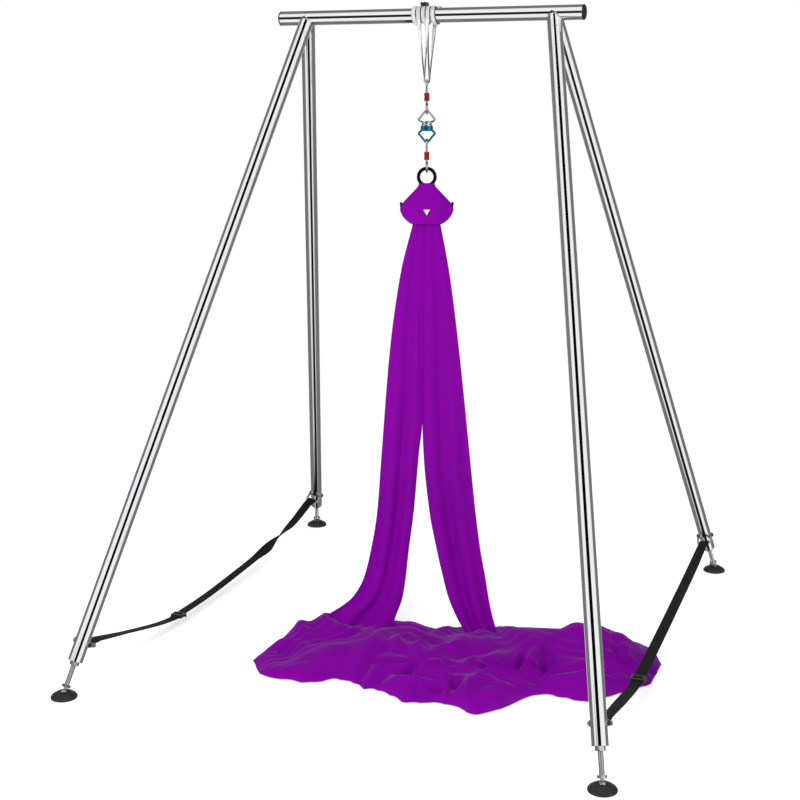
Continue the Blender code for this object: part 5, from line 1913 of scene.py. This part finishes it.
@dataclass
class Carabiner:
    """Screw-gate carabiner: bent body, gate on its pin, and knurled sleeve."""

    name: str
    middle_z: float
    hanger: str
    gate_body: str
    sleeve_body: str
    hinge_rise: float = 0.0065
    knuckle: float = 0.0055
    tongue: float = 0.005
    pin: float = 0.0015
    nose_drop: float = 0.0045
    sleeve_radius: float = 0.0120
    sleeve_length: float = 0.036
    flutes: int = 24
    flute_depth: float = 0.0007

    @property
    def seat(self) -> Matrix:
        """Place of the carabiner's middle."""
        return HANG.turned_frame @ shift(0.0, 0.0, self.middle_z)

    @property
    def half(self) -> float:
        """Half the width between the rods' middles."""
        return HANG.carabiner_width / 2.0

    @property
    def straight(self) -> float:
        """Half the length of the straight sides."""
        return HANG.carabiner_height / 2.0 - self.half

    @property
    def hinge_z(self) -> float:
        """Height of the hinge, seen from the carabiner's middle."""
        return -self.straight + self.hinge_rise

    def body(self) -> bpy.types.Object:
        """Bent rod with a forked knuckle and a nose.

        Returns:
            The body.
        """
        thick, half, straight, hinge_z = HANG.carabiner_rod, self.half, self.straight, self.hinge_z
        flat = [(-half, hinge_z), (-half, -straight)]
        flat += arc((0.0, -straight), half, 180.0, 360.0, 40)[1:]
        flat += arc((0.0, straight), half, 0.0, 180.0, 40)
        flat += [(-half, straight - self.nose_drop)]
        body = swept("body", [Vector((0.0, y, z)) for y, z in flat], thick, 28)
        barrel = turned("barrel", rod(self.knuckle, -thick, thick), 40)
        combine(body, place(barrel, shift(0.0, -half, hinge_z) @ ALONG_X), Cut.JOIN)
        slot_half, depth = self.tongue / 2.0 + SLIDE, self.knuckle + 0.0008
        slot = box("slot", (-slot_half, -half - 2.0 * depth, hinge_z - depth),
                   (slot_half, -half + 2.0 * depth, hinge_z + depth))
        combine(body, slot, Cut.AWAY)
        return soften(body, 0.0005, 2, 40.0)

    def gate(self) -> bpy.types.Object:
        """Gate rod with its tongue.

        Returns:
            The gate.
        """
        length = self.straight - self.nose_drop - self.hinge_z - 2.0 * GAP
        start, eye, thin = self.knuckle + SLIDE, self.knuckle * 0.85, self.tongue / 2.0
        gate = turned("gate", rod(HANG.carabiner_rod, start, length, EDGE), 48)
        disc = place(turned("eye", rod(eye, -thin, thin), 32), ALONG_X)
        web = box("web", (-thin, -eye, 0.0), (thin, eye, 2.0 * start))
        return place(joined("gate", gate, disc, web), shift(0.0, -self.half, self.hinge_z))

    def sleeve(self) -> bpy.types.Object:
        """Knurled sleeve: two fluted bands with a plain groove between them.

        Returns:
            The sleeve.
        """
        inner = HANG.carabiner_rod + 0.0006
        half, radius = self.sleeve_length / 2.0, self.sleeve_radius
        upper = [(-0.0012, 0.002), (0.0, 0.003), (0.0, half - 0.003)]
        upper += [(-0.0004, half - 0.0015), (-0.0018, half)]
        steps = [(size, -at) for size, at in reversed(upper)] + upper
        profile = [(inner, -half), *[(radius + size, at) for size, at in steps], (inner, half)]
        sleeve = turned("sleeve", profile, 144, ring=True)
        for vertex in sleeve.data.vertices:
            x, y, z = vertex.co
            reach = math.hypot(x, y)
            grooved = 0.0031 > abs(z) or abs(z) > half - 0.0014
            if reach < radius - 0.0008 or grooved:
                continue
            cut = self.flute_depth * (0.5 - 0.5 * math.cos(self.flutes * math.atan2(y, x))) ** 3
            vertex.co.x *= (reach - cut) / reach
            vertex.co.y *= (reach - cut) / reach
        return place(sleeve, shift(0.0, -self.half, 0.0))

    def build(self) -> None:
        """Build and dress the whole carabiner."""
        own = self.name
        body = place(self.body(), self.seat)
        fit(body, ALLOY, self.hanger, f"{own}_body", f"{own}_hook")
        end = HANG.carabiner_rod - 2.0 * GAP
        pin = turned(f"{own}_hinge_pin", rod(self.pin, -end, end), 24)
        place(pin, self.seat @ shift(0.0, -self.half, self.hinge_z) @ ALONG_X)
        fit(pin, ALLOY, self.hanger, f"{own}_pin")
        fit(place(self.gate(), self.seat), ALLOY, self.gate_body, f"{own}_gate", f"{own}_gate_bar")
        fit(place(self.sleeve(), self.seat), RED, self.sleeve_body, f"{own}_sleeve", f"{own}_screw_sleeve")


@dataclass
class Swivel:
    """Two hubs that turn on a headed axle, each with its bail."""

    upper_radius: float = 0.0225
    lower_radius: float = 0.0287
    chamfer: float = 0.004
    half_width: float = 0.0368
    axle_radius: float = 0.0055
    head_radius: float = 0.0130
    head_height: float = 0.005
    race_height: float = 0.005
    race_radius: float = 0.0155

    def bail(self, name: str, apex: float, base: float, hub_radius: float) -> bpy.types.Object:
        """Bent bail from one side of a hub over its crown to the other side.

        Args:
            name: Name of the new object.
            apex: Height of its crown.
            base: Height of the hub's face.
            hub_radius: Radius of the hub there.

        Returns:
            The bail.
        """
        thick = HANG.bail_rod
        up = 1.0 if apex > base else -1.0
        turn = thick + HANG.carabiner_rod + GAP
        centre = Vector((0.0, apex - up * turn))
        shoulder = Vector((self.half_width, base + up * thick * 2.2))
        lean = math.atan2(shoulder.y - centre.y, shoulder.x - centre.x)
        start = math.degrees(lean + up * math.acos(turn / (shoulder - centre).length))
        end = 180.0 - start if up > 0.0 else -180.0 - start
        crown = [Vector(p) for p in arc((0.0, apex - up * turn), turn, start, end, 24)]
        root = Vector((hub_radius - thick, base - up * thick * 0.4))
        elbow = Vector((self.half_width * 0.86, base + up * thick * 0.7))
        right = smooth_curve([root, elbow, shoulder, shoulder.lerp(crown[0], 0.12)], 6)
        left = [Vector((-p.x, p.y)) for p in reversed(right)]
        return swept(name, [Vector((p.x, 0.0, p.y)) for p in right + crown + left], thick, 24)

    def upper(self) -> bpy.types.Object:
        """Upper hub with its bail.

        Returns:
            The hub.
        """
        bore = self.axle_radius + GAP
        foot, middle, top = HANG.middle + GAP, HANG.middle, HANG.hub_top
        wide, narrow = self.upper_radius * 1.12, self.upper_radius
        lift = HANG.upper_hub_height
        profile = [(bore, foot), (wide - EDGE, foot), (wide, foot + EDGE)]
        steps = [(wide, 0.33), (wide - 0.0006, 0.37), (narrow + 0.0004, 0.48), (narrow, 0.54), (narrow, 0.66)]
        steps += [(narrow - 0.0008, 0.68), (narrow - 0.0008, 0.72), (narrow, 0.74)]
        profile += [(radius, middle + lift * share) for radius, share in steps]
        profile += [(narrow, top - 0.0016), (narrow - 0.0016, top), (bore, top)]
        hub = turned("upper_hub", profile, 72, ring=True)
        return combine(hub, self.bail("upper_loop", HANG.upper_apex, top, narrow), Cut.JOIN)

    def lower(self) -> bpy.types.Object:
        """Lower hub with its bail and the recess for the axle's head.

        Returns:
            The hub.
        """
        low, middle = HANG.hub_bottom, HANG.middle
        ceiling = low + self.head_height + self.race_height + 3.0 * GAP
        cavity = self.race_radius + 0.0008
        radius = self.lower_radius
        bore = self.axle_radius + SLIDE
        groove = (low + middle) / 2.0 + 0.002
        profile = [(bore, middle - GAP), (radius - 0.0010, middle - GAP), (radius, middle - GAP - 0.0010)]
        profile += [(radius, groove + 0.0014), (radius - 0.0008, groove + 0.0008), (radius - 0.0008, groove)]
        profile += [(radius, groove - 0.0006), (radius, low + self.chamfer)]
        profile += arc((radius - self.chamfer, low + self.chamfer), self.chamfer, -15.0, -90.0, 5)
        profile += [(cavity + 0.0006, low), (cavity, low + 0.0006), (cavity, ceiling), (bore, ceiling)]
        hub = turned("lower_hub", profile, 72, ring=True)
        return combine(hub, self.bail("lower_loop", HANG.lower_apex, low, radius), Cut.JOIN)

    def axle(self) -> bpy.types.Object:
        """Axle with its lower head and its riveted upper end.

        Returns:
            The axle.
        """
        head, low, top = self.head_radius, HANG.hub_bottom, HANG.hub_top
        shaft, rivet, rise = self.axle_radius, head * 0.75, self.head_height
        profile = [(0.0, low), (head - EDGE, low), (head, low + EDGE), (head, low + rise)]
        profile += [(shaft, low + rise), (shaft, top + GAP), (rivet, top + GAP)]
        profile.append((rivet, top + GAP + rise * 0.35))
        for t in quarter_turn(6)[1:]:
            profile.append((rivet * math.cos(t), top + GAP + rise * (0.35 + 0.55 * math.sin(t))))
        return turned("axle", profile, 56)

    def build(self) -> None:
        """Build and dress the swivel."""
        for piece, finish, body, node, name in (
            (self.upper(), ALLOY, "hanger", "swivel_upper_bail", "upper_swivel_hub"),
            (self.lower(), BLUE, "lower_rig", "swivel_lower_bail", "lower_swivel_hub"),
            (self.axle(), ZINC, "hanger", "swivel_axle", "swivel_rivet"),
        ):
            fit(place(piece, HANG.turned_frame), finish, body, node, name)
        race = frame["nodes"]["swivel_race"]
        race.data.materials.clear()
        race.data.materials.append(ZINC.material())


@dataclass
class RescueEight:
    """Two fused rings with an upturned ear each side."""

    ear_span: float = 0.1165
    tip_radius: float = 0.0055

    def build(self) -> None:
        """Build and dress the eight."""
        ring_rod, large, low = HANG.eight_rod, HANG.large_ring, HANG.large_z
        rings = []
        for radius, height in ((large, low), (HANG.small_ring, HANG.small_z)):
            clear_selection()
            bpy.ops.mesh.primitive_torus_add(major_radius=radius, minor_radius=ring_rod, major_segments=112,
                                             minor_segments=32, location=(0.0, 0.0, height),
                                             rotation=(math.radians(90.0), 0.0, 0.0))
            rings.append(place(named("ring"), Matrix.Identity(4)))
        eight = combine(*rings, Cut.JOIN)
        thick, span = ring_rod * 0.9, self.ear_span
        line = [(large * 0.86, -0.52), (span * 0.80, -0.80), (span * 0.95, -0.60), (span, -0.20)]
        line.append((span + self.tip_radius * 0.4, 0.12))
        for side in Side:
            points = smooth_curve([Vector((side.value * x, 0.0, low + large * rise)) for x, rise in line], 8)
            sizes = spread(self.tip_radius - thick, len(points) - 1, thick)
            combine(eight, swept("horn", points, sizes, 24), Cut.JOIN)
        soften(place(eight, HANG.turned_frame), 0.0012, 3, 50.0)
        fit(eight, BLACK, "lower_rig", "rescue_eight", "black_eight", angle=50.0)


# Silk


@dataclass
class SilkDrape:
    """One long silk: the fold over the eight, two hanging tails and the heap."""

    wrap_top: float = 0.0295
    wrap_drop: float = 0.092
    wrap_depth: float = 0.026
    keyhole_width: float = 0.028
    layers: int = 9
    layer_pitch: float = 0.0014
    cloth: float = 0.0006
    folds: float = 2.0
    reach: float = 0.22
    pile_height: float = 0.155
    pile_depth: float = 0.80
    parting: float = 0.0002
    foot: float = 0.054
    cuts: tuple[float, float] = (1.66, 1.10)
    pile_stations: int = 330
    pile_columns: int = 190

    WIDTHS = Curve((0.0, 0.070), (0.04, 0.082), (0.10, 0.096), (0.22, 0.114), (0.36, 0.123),
                   (0.50, 0.113), (0.65, 0.089), (0.80, 0.062), (0.93, 0.041), (1.0, 0.036))
    PINCH = ((0.004, 0.045), (0.016, 0.030), 0.30)
    INNER = {
        Side.LEFT: Curve((0.05, 0.172), (0.12, 0.147), (0.20, 0.114), (0.28, 0.100), (0.40, 0.086),
                         (0.58, 0.062), (0.88, 0.036), (1.03, 0.020), (1.97, 0.008)),
        Side.RIGHT: Curve((0.05, 0.190), (0.12, 0.144), (0.20, 0.106), (0.28, 0.082), (0.40, 0.052),
                          (0.58, 0.016), (0.88, -0.014), (1.03, -0.019), (1.97, -0.007)),
    }
    OUTER = {
        Side.LEFT: Curve((0.05, 0.570), (0.12, 0.485), (0.16, 0.410), (0.20, 0.354), (0.28, 0.302),
                         (0.40, 0.269), (0.58, 0.238), (0.88, 0.214), (1.40, 0.170), (1.75, 0.119),
                         (1.97, 0.064)),
        Side.RIGHT: Curve((0.05, 0.338), (0.12, 0.315), (0.20, 0.297), (0.28, 0.284), (0.40, 0.261),
                          (0.58, 0.237), (0.88, 0.205), (1.20, 0.172), (1.50, 0.138), (1.75, 0.104),
                          (1.97, 0.063)),
    }
    FRONT_EDGE = Curve((-0.60, -0.70), (-0.43, -0.86), (-0.29, -0.85), (-0.16, -0.77), (0.02, -0.80),
                       (0.22, -0.87), (0.40, -0.85), (0.54, -0.88), (0.64, -0.77), (0.74, -0.61),
                       (0.94, -0.59), (1.07, -0.47), (1.17, -0.30))
    BACK_EDGE = Curve((-0.60, -0.46), (-0.53, -0.29), (-0.46, -0.19), (-0.32, -0.09), (-0.20, -0.02),
                      (-0.08, -0.01), (0.02, -0.02), (0.12, 0.0), (0.20, 0.05), (0.30, 0.10), (0.38, 0.12),
                      (0.50, 0.06), (0.62, 0.05), (0.80, 0.09), (0.95, 0.15), (1.10, 0.07), (1.17, -0.06))
    CREST = Curve((-0.60, 0.04), (-0.53, 0.62), (-0.46, 0.80), (-0.20, 0.88), (0.10, 0.96), (0.60, 1.0),
                  (0.95, 0.93), (1.10, 0.52), (1.17, 0.04))
    FOLDS = [(1.35, 0.150, 0.040, 1.3), (0.10, 0.190, 0.038, 4.7), (-0.80, 0.095, 0.007, 8.9)]
    MOUNDS = [((-0.40, -0.34), (0.15, 0.14), 0.035), ((0.86, -0.02), (0.17, 0.16), 0.060),
              ((0.52, -0.07), (0.16, 0.12), 0.055), ((-0.18, -0.17), (0.16, 0.10), 0.010)]
    HOLLOWS = [((0.06, -0.62), (0.080, 0.020), 0.050), ((0.15, -0.69), (0.030, 0.018), 0.042),
               ((0.33, -0.79), (0.045, 0.020), 0.046), ((0.40, -0.73), (0.018, 0.040), 0.042),
               ((0.59, -0.40), (0.018, 0.055), 0.052), ((0.71, -0.40), (0.020, 0.060), 0.052),
               ((0.64, -0.49), (0.060, 0.016), 0.040), ((0.42, -0.56), (0.120, 0.014), 0.032)]

    @property
    def top(self) -> float:
        """Top of the fold over the eight."""
        return HANG.small_z - self.wrap_top

    @property
    def bottom(self) -> float:
        """Bottom of the fold, where the tails start."""
        return HANG.large_z - self.wrap_drop

    def wrap(self) -> bpy.types.Object:
        """Fold over the eight's large ring, with its keyhole.

        Returns:
            The fold.
        """
        rows, columns = 72, 112
        height = self.top - self.bottom
        pinch, pinch_size, pinch_depth = self.PINCH
        rings = []
        for share in spread(1.0, rows):
            half = self.WIDTHS(share)
            depth = self.wrap_depth * (0.72 + 0.28 * math.sin(math.pi * (0.15 + 0.75 * share)))
            ring = []
            for turn in spread(FULL_TURN, columns)[:-1]:
                x = half * swelled(math.cos(turn), 0.8)
                crease = 1.0 + 0.06 * math.cos(5.0 * turn + 4.0 * share)
                crease += 0.03 * math.sin(17.0 * x / half + 6.0 * share)
                crease -= pinch_depth * hump(x, share, pinch, pinch_size)
                y = depth * crease * swelled(math.sin(turn), 0.55)
                ring.append(Vector((x, y, self.bottom + height * share)))
            rings.append(ring)
        uv = (spread(height, rows), spread(0.5, columns))
        wrap = lofted("silk_fold", rings, closed=True, caps=True, uv=uv, upright=True)
        neck = HANG.small_ring + HANG.eight_rod + 0.0016
        half_mouth = HANG.eight_rod + 0.0012
        mouth = box("mouth", (-neck, -half_mouth, self.top - 0.02), (neck, half_mouth, self.top + 0.05))
        combine(wrap, mouth, Cut.AWAY)
        clear_selection()
        bpy.ops.mesh.primitive_cylinder_add(vertices=3, radius=self.keyhole_width * 0.70, depth=0.2,
                                            rotation=(math.radians(90.0), 0.0, 0.0))
        hole = place(named("keyhole"), Matrix.Identity(4))
        middle = HANG.large_z - HANG.large_ring * 0.42 - 0.003
        point_down = shift(0.0, 0.0, middle) @ Matrix.Rotation(math.pi, 4, "Y")
        combine(wrap, place(hole, point_down), Cut.AWAY)
        return thicken(wrap, self.cloth, -1.0)

    def layered(self, side: Side, height: float, width: float) -> Profile:
        """Run of a tail's cloth, folded to and fro in layers behind each other.

        Args:
            side: Left or right.
            height: Height of the cross-section.
            width: Width of the tail there.

        Returns:
            Points as (share across, depth).
        """
        turns = []
        for layer in range(self.layers + 1):
            wander = 0.5 + 0.5 * math.sin(2.1 * layer + side.value + 0.9 * height)
            tuck = 0.0 if layer in (1, 2) else 0.26 * wander
            turns.append(1.0 - tuck if layer % 2 else tuck)
        found = []
        for layer, (a, b) in enumerate(zip(turns, turns[1:])):
            y = (layer - (self.layers - 1) / 2.0) * self.layer_pitch
            found += [(across, y) for across in spread(b - a, 16, a)]
            if layer < self.layers - 1:
                bulge = 0.35 * self.layer_pitch / max(width, 0.02) * (1.0 if b > a else -1.0)
                found.append((b + bulge, y + 0.5 * self.layer_pitch))
        return found

    def section(self, side: Side, height: float) -> list[Vector]:
        """One cross-section of a tail.

        Args:
            side: Left or right.
            height: Its height.

        Returns:
            Points along the cloth.
        """
        near = self.INNER[side](height) + self.parting
        width = self.OUTER[side](height) - near
        share = (self.bottom - height) / (self.bottom - self.foot)
        forward = -self.reach * max(0.0, (share - 0.72) / 0.28) ** 1.6
        amplitude = 0.0030 + 0.0170 * share
        points = []
        for across, y in self.layered(side, height, width):
            x = side.value * (near + width * across)
            wave = math.cos(2.0 * math.pi * self.folds * across + 1.4 * share)
            ripple = 0.07 * math.cos(2.0 * math.pi * 5.0 * across - 2.0 * share + side.value)
            edge = math.sin(math.pi * min(max(across, 0.04), 0.96)) ** 0.3
            points.append(Vector((x, forward + y + amplitude * (wave + ripple) * edge, height)))
        return points

    def tail(self, side: Side) -> None:
        """Build one tail as three stretches, cut at the given heights.

        Args:
            side: Left or right.
        """
        cuts = [self.bottom - GAP, *self.cuts, self.foot]
        bodies = [("lower_rig", "hanger"), ("hanger", "sling"), ("sling", "frame")]
        labels, counts = ["upper", "middle", "lower"], [24, 40, 70]
        for high, low, pair, label, count in zip(cuts, cuts[1:], bodies, labels, counts):
            heights = spread(low - high, count, high)
            rings = [[HANG.turned_frame @ point for point in self.section(side, z)] for z in heights]
            name = f"silk_tail_{side.label}_{label}"
            piece = lofted(name, rings, closed=False, uv=(heights, lengths_along(rings[-1])))
            dress(thicken(piece, self.cloth), SILK, 80.0)
            if label == "lower":
                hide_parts(f"silk_tail_{side.label}")
            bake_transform(piece)

    def heap_point(self, x: float, share: float) -> Vector:
        """Point of the heap's top cloth.

        Args:
            x: Place along the heap.
            share: 0 at the front hem and 1 at the back hem.

        Returns:
            The point, with its folds rolled forward over each other.
        """
        fullness = self.CREST(x)
        scallop = 0.030 * abs(math.sin(11.0 * x + 0.7 * math.sin(5.0 * x))) - 0.012
        scallop += 0.010 * abs(math.sin(37.0 * x + 2.0 * math.sin(6.0 * x)))
        front = self.FRONT_EDGE(x) + scallop * (1.0 - share) ** 2
        back = self.BACK_EDGE(x) - 0.018 * math.sin(15.0 * x + 2.0 * math.sin(7.0 * x)) * share
        y = front + (back - front) * share
        inside = math.sin(math.pi * min(max(share, 0.0), 1.0))
        dome = inside ** (0.36 + 0.55 * share**2)
        spot = Vector((x, y, 0.0))
        lump = noise.noise(spot * 3.2 + Vector((7.0, 2.0, 5.0)))
        height = self.pile_height * (0.60 + 0.50 * lump) * fullness * dome
        for centre, wide, size in self.MOUNDS:
            height += size * hump(x, y, centre, wide) * min(1.0, dome * 1.6)
        for centre, wide, size in self.HOLLOWS:
            height -= size * hump(x, y, centre, wide)
        moved = Vector((x, y, height))
        mask = eased(0.5 + 1.6 * noise.noise(spot * 2.1 + Vector((1.0, 5.0, 9.0))))
        for (angle, wave, size, seed), share_of in zip(self.FOLDS, (1.0 - mask, mask, 1.0)):
            way = Vector((math.cos(angle), math.sin(angle), 0.0))
            drift = 0.30 * noise.noise(spot * 1.8 + Vector((seed, 0.0, 0.0)))
            drift += 0.10 * noise.noise(spot * 4.6 + Vector((0.0, seed, 0.0)))
            phase = math.pi * (spot.dot(way) + drift) / wave
            strength = size * dome * (0.35 + 0.65 * fullness) * share_of
            strength *= 0.45 + 1.0 * abs(noise.noise(spot * 2.4 + Vector((seed, 0.0, seed))))
            puff = math.sqrt(math.sin(phase) ** 2 + 0.018)
            moved += Vector((0.0, 0.0, strength * (puff - 0.64) * 1.5))
            moved += way * (0.60 * strength * math.sin(2.0 * phase))
        moved.z += noise.noise(spot * 17.0) * 0.0018 * dome
        moved.z = max(moved.z, 0.0035 + 0.003 * abs(math.sin(30.0 * x)))
        return moved

    def pile(self) -> bpy.types.Object:
        """Heap of silk on the floor, with rolled folds and a ruffled hem.

        Returns:
            The heap.
        """
        start = self.FRONT_EDGE.rows[0][0]
        span = self.FRONT_EDGE.rows[-1][0] - start
        shares = spread(1.0, self.pile_columns)
        stations = spread(span, self.pile_stations, start)
        rows = [[self.heap_point(x, share) for share in shares] for x in stations]
        uv = (spread(span, self.pile_stations), spread(self.pile_depth, self.pile_columns))
        pile = lofted("silk_heap", rows, closed=False, uv=uv)
        log.info("heap: %.3f m2", sum(face.area for face in pile.data.polygons))
        return thicken(pile, self.cloth, -1.0)

    def build(self) -> None:
        wrap = place(self.wrap(), HANG.turned_frame)
        fit(wrap, SILK, "lower_rig", "silk_wrap", angle=60.0)
        for side in Side:
            self.tail(side)
        pile = self.pile()
        fit(pile, SILK, "frame", "silk_pile", angle=80.0)


# Studio


def matt(name: str, grey: float, roughness: float, glow: float = 0.0) -> bpy.types.Material:
    """Matt grey material of a stage piece.

    Args:
        name: Name of the material.
        grey: Its brightness.
        roughness: Its roughness.
        glow: Strength of its own white light.

    Returns:
        The material.
    """
    material = bpy.data.materials.new(name)
    material.use_nodes = True
    shader = material.node_tree.nodes["Principled BSDF"]
    inputs = {"Base Color": rgba((grey, grey, grey)), "Roughness": roughness, "Specular IOR Level": 0.0}
    Graph(material.node_tree).feed(shader, inputs | {"Emission Color": WHITE, "Emission Strength": glow})
    return material


@dataclass
class Studio:
    """Camera, light and floor of the picture."""

    place_of: tuple[float, float, float] = (2.248, -6.191, 2.580)
    yaw: float = 0.3674
    pitch: float = 0.2154
    roll: float = -0.003
    lens: float = 64.0
    ambient: float = 0.62
    edge_grey: float = 0.17
    grey_from: float = 0.10
    bright_from: float = 0.28
    rear_from: float = -0.80
    low_azimuth: float = 30.0
    low_half: float = 0.31
    dark_azimuth: float = -20.0
    facing: tuple[float, float, float] = (0.341, -0.936, 0.087)
    flag_y: float = -6.6

    # Left and right edge of the flag at its bottom and its top
    FLAG = {-1.0: (0.1, 3.7), 14.5: (-1.2, 7.2)}

    def camera(self) -> None:
        """Set the camera at the photograph's angle."""
        data = bpy.data.cameras.new("camera")
        data.sensor_width = 36.0
        data.lens = self.lens
        camera = linked("camera", data)
        level = math.cos(self.pitch)
        look = Vector((-math.sin(self.yaw) * level, math.cos(self.yaw) * level, -math.sin(self.pitch)))
        camera.rotation_mode = "QUATERNION"
        spin = Matrix.Rotation(self.roll, 3, "Z").to_quaternion()
        camera.rotation_quaternion = look.to_track_quat("-Z", "Y") @ spin
        camera.location = self.place_of
        bpy.context.scene.camera = camera

    def floor(self) -> None:
        """Lay a plain pale floor."""
        clear_selection()
        bpy.ops.mesh.primitive_circle_add(vertices=96, radius=7.0, fill_type="NGON",
                                          location=(0.0, 0.0, -0.0005))
        floor = place(named("floor"), Matrix.Identity(4))
        floor.data.materials.append(matt("pale_floor", 0.90, 0.9, 0.45))
        floor.visible_glossy = False

    def world(self) -> None:
        """White surround for the eye and the cloth, and a graded one for reflections."""
        world = bpy.data.worlds.new("studio")
        world.use_nodes = True
        bpy.context.scene.world = world
        bpy.context.scene.view_settings.view_transform = "Standard"
        graph = Graph(world.node_tree)
        way = graph.add("TexCoord")["Generated"]
        x, y, z = graph.add("SeparateXYZ", {0: way})
        toward = Vector(self.facing).normalized()
        facing = graph.add("VectorMath", {0: way, 1: toward}, operation="DOT_PRODUCT")["Value"]
        front = graph.between(facing, self.grey_from, self.bright_from, self.edge_grey, 0.93)
        rear = graph.between(facing, self.rear_from, self.rear_from - 0.09, 0.0, 0.80)
        azimuth = graph.math("ARCTAN2", x, graph.math("MULTIPLY", y, -1.0))
        level = graph.math("SQRT", graph.math("SUBTRACT", 1.0, graph.math("POWER", z, 2.0)))
        low_off = graph.math("MULTIPLY", graph.off(azimuth, math.radians(self.low_azimuth)), level)
        outside = graph.between(low_off, self.low_half - 0.03, self.low_half + 0.02)
        lit = graph.math("MAXIMUM", outside, graph.between(z, -0.50, -0.44))
        aside = graph.between(graph.off(azimuth, math.radians(self.dark_azimuth)), 0.20, 0.24)
        clear = graph.math("MAXIMUM", aside, graph.between(graph.off(z, 0.04), 0.27, 0.31))
        kept = graph.between(graph.math("MULTIPLY", lit, clear), 0.0, 1.0, 0.015, 1.0)
        shade = graph.math("MULTIPLY", graph.math("MAXIMUM", front, rear), kept)
        light = graph.add("LightPath")
        seen = graph.mix(light["Is Camera Ray"], rgba((self.ambient, self.ambient, self.ambient)), WHITE)
        seen = graph.mix(light["Is Glossy Ray"], seen, shade)
        graph.feed(world.node_tree.nodes["Background"], {"Color": seen, "Strength": 1.0})

    def flag(self) -> None:
        """Hang the flag, seen by reflections only, that draws the dark line down each front tube."""
        rows = [[Vector((x, self.flag_y, z)) for x in edge] for z, edge in self.FLAG.items()]
        flag = lofted("tall_flag", rows, closed=False)
        flag.data.materials.append(matt("black_felt", 0.003, 1.0))
        flag.visible_camera = False
        flag.visible_diffuse = False
        flag.visible_shadow = False

    def key(self) -> None:
        """Hang one large soft light up and to the left, which only the cloth and floor see."""
        data = bpy.data.lights.new("soft_key", "AREA")
        data.shape = "RECTANGLE"
        data.size = 3.0
        data.size_y = 2.0
        data.energy = 210.0
        key = linked("soft_key", data)
        key.location = (0.4, -5.2, 4.2)
        key.rotation_mode = "QUATERNION"
        key.rotation_quaternion = (Vector((0.2, 0.0, 1.0)) - key.location).to_track_quat("-Z", "Y")
        key.visible_glossy = False

    def build(self) -> None:
        """Set up the studio."""
        self.floor()
        self.world()
        self.flag()
        self.key()
        for piece in bpy.data.objects:
            if piece.name.startswith("silk_") and piece.type == "MESH":
                piece.visible_glossy = False


def main() -> None:
    """Build every assembly in order."""
    studio = Studio()
    studio.camera()
    brackets = Brackets()
    straps = Straps(brackets=brackets)
    straps.build()
    Sling().build()
    TopBar().build()
    Sockets().build()
    Legs().build()
    Feet().build()
    brackets.build()
    middle = HANG.sling_z - HANG.carabiner_height / 2.0
    Carabiner("upper_carabiner", middle, "hanger", "upper_gate", "upper_sleeve").build()
    Swivel().build()
    middle = HANG.second_rod - HANG.carabiner_height / 2.0
    Carabiner("lower_carabiner", middle, "lower_rig", "lower_gate", "lower_sleeve").build()
    RescueEight().build()
    SilkDrape().build()
    studio.build()
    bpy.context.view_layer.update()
    clear_selection()


if __name__ == "__main__":
    main()
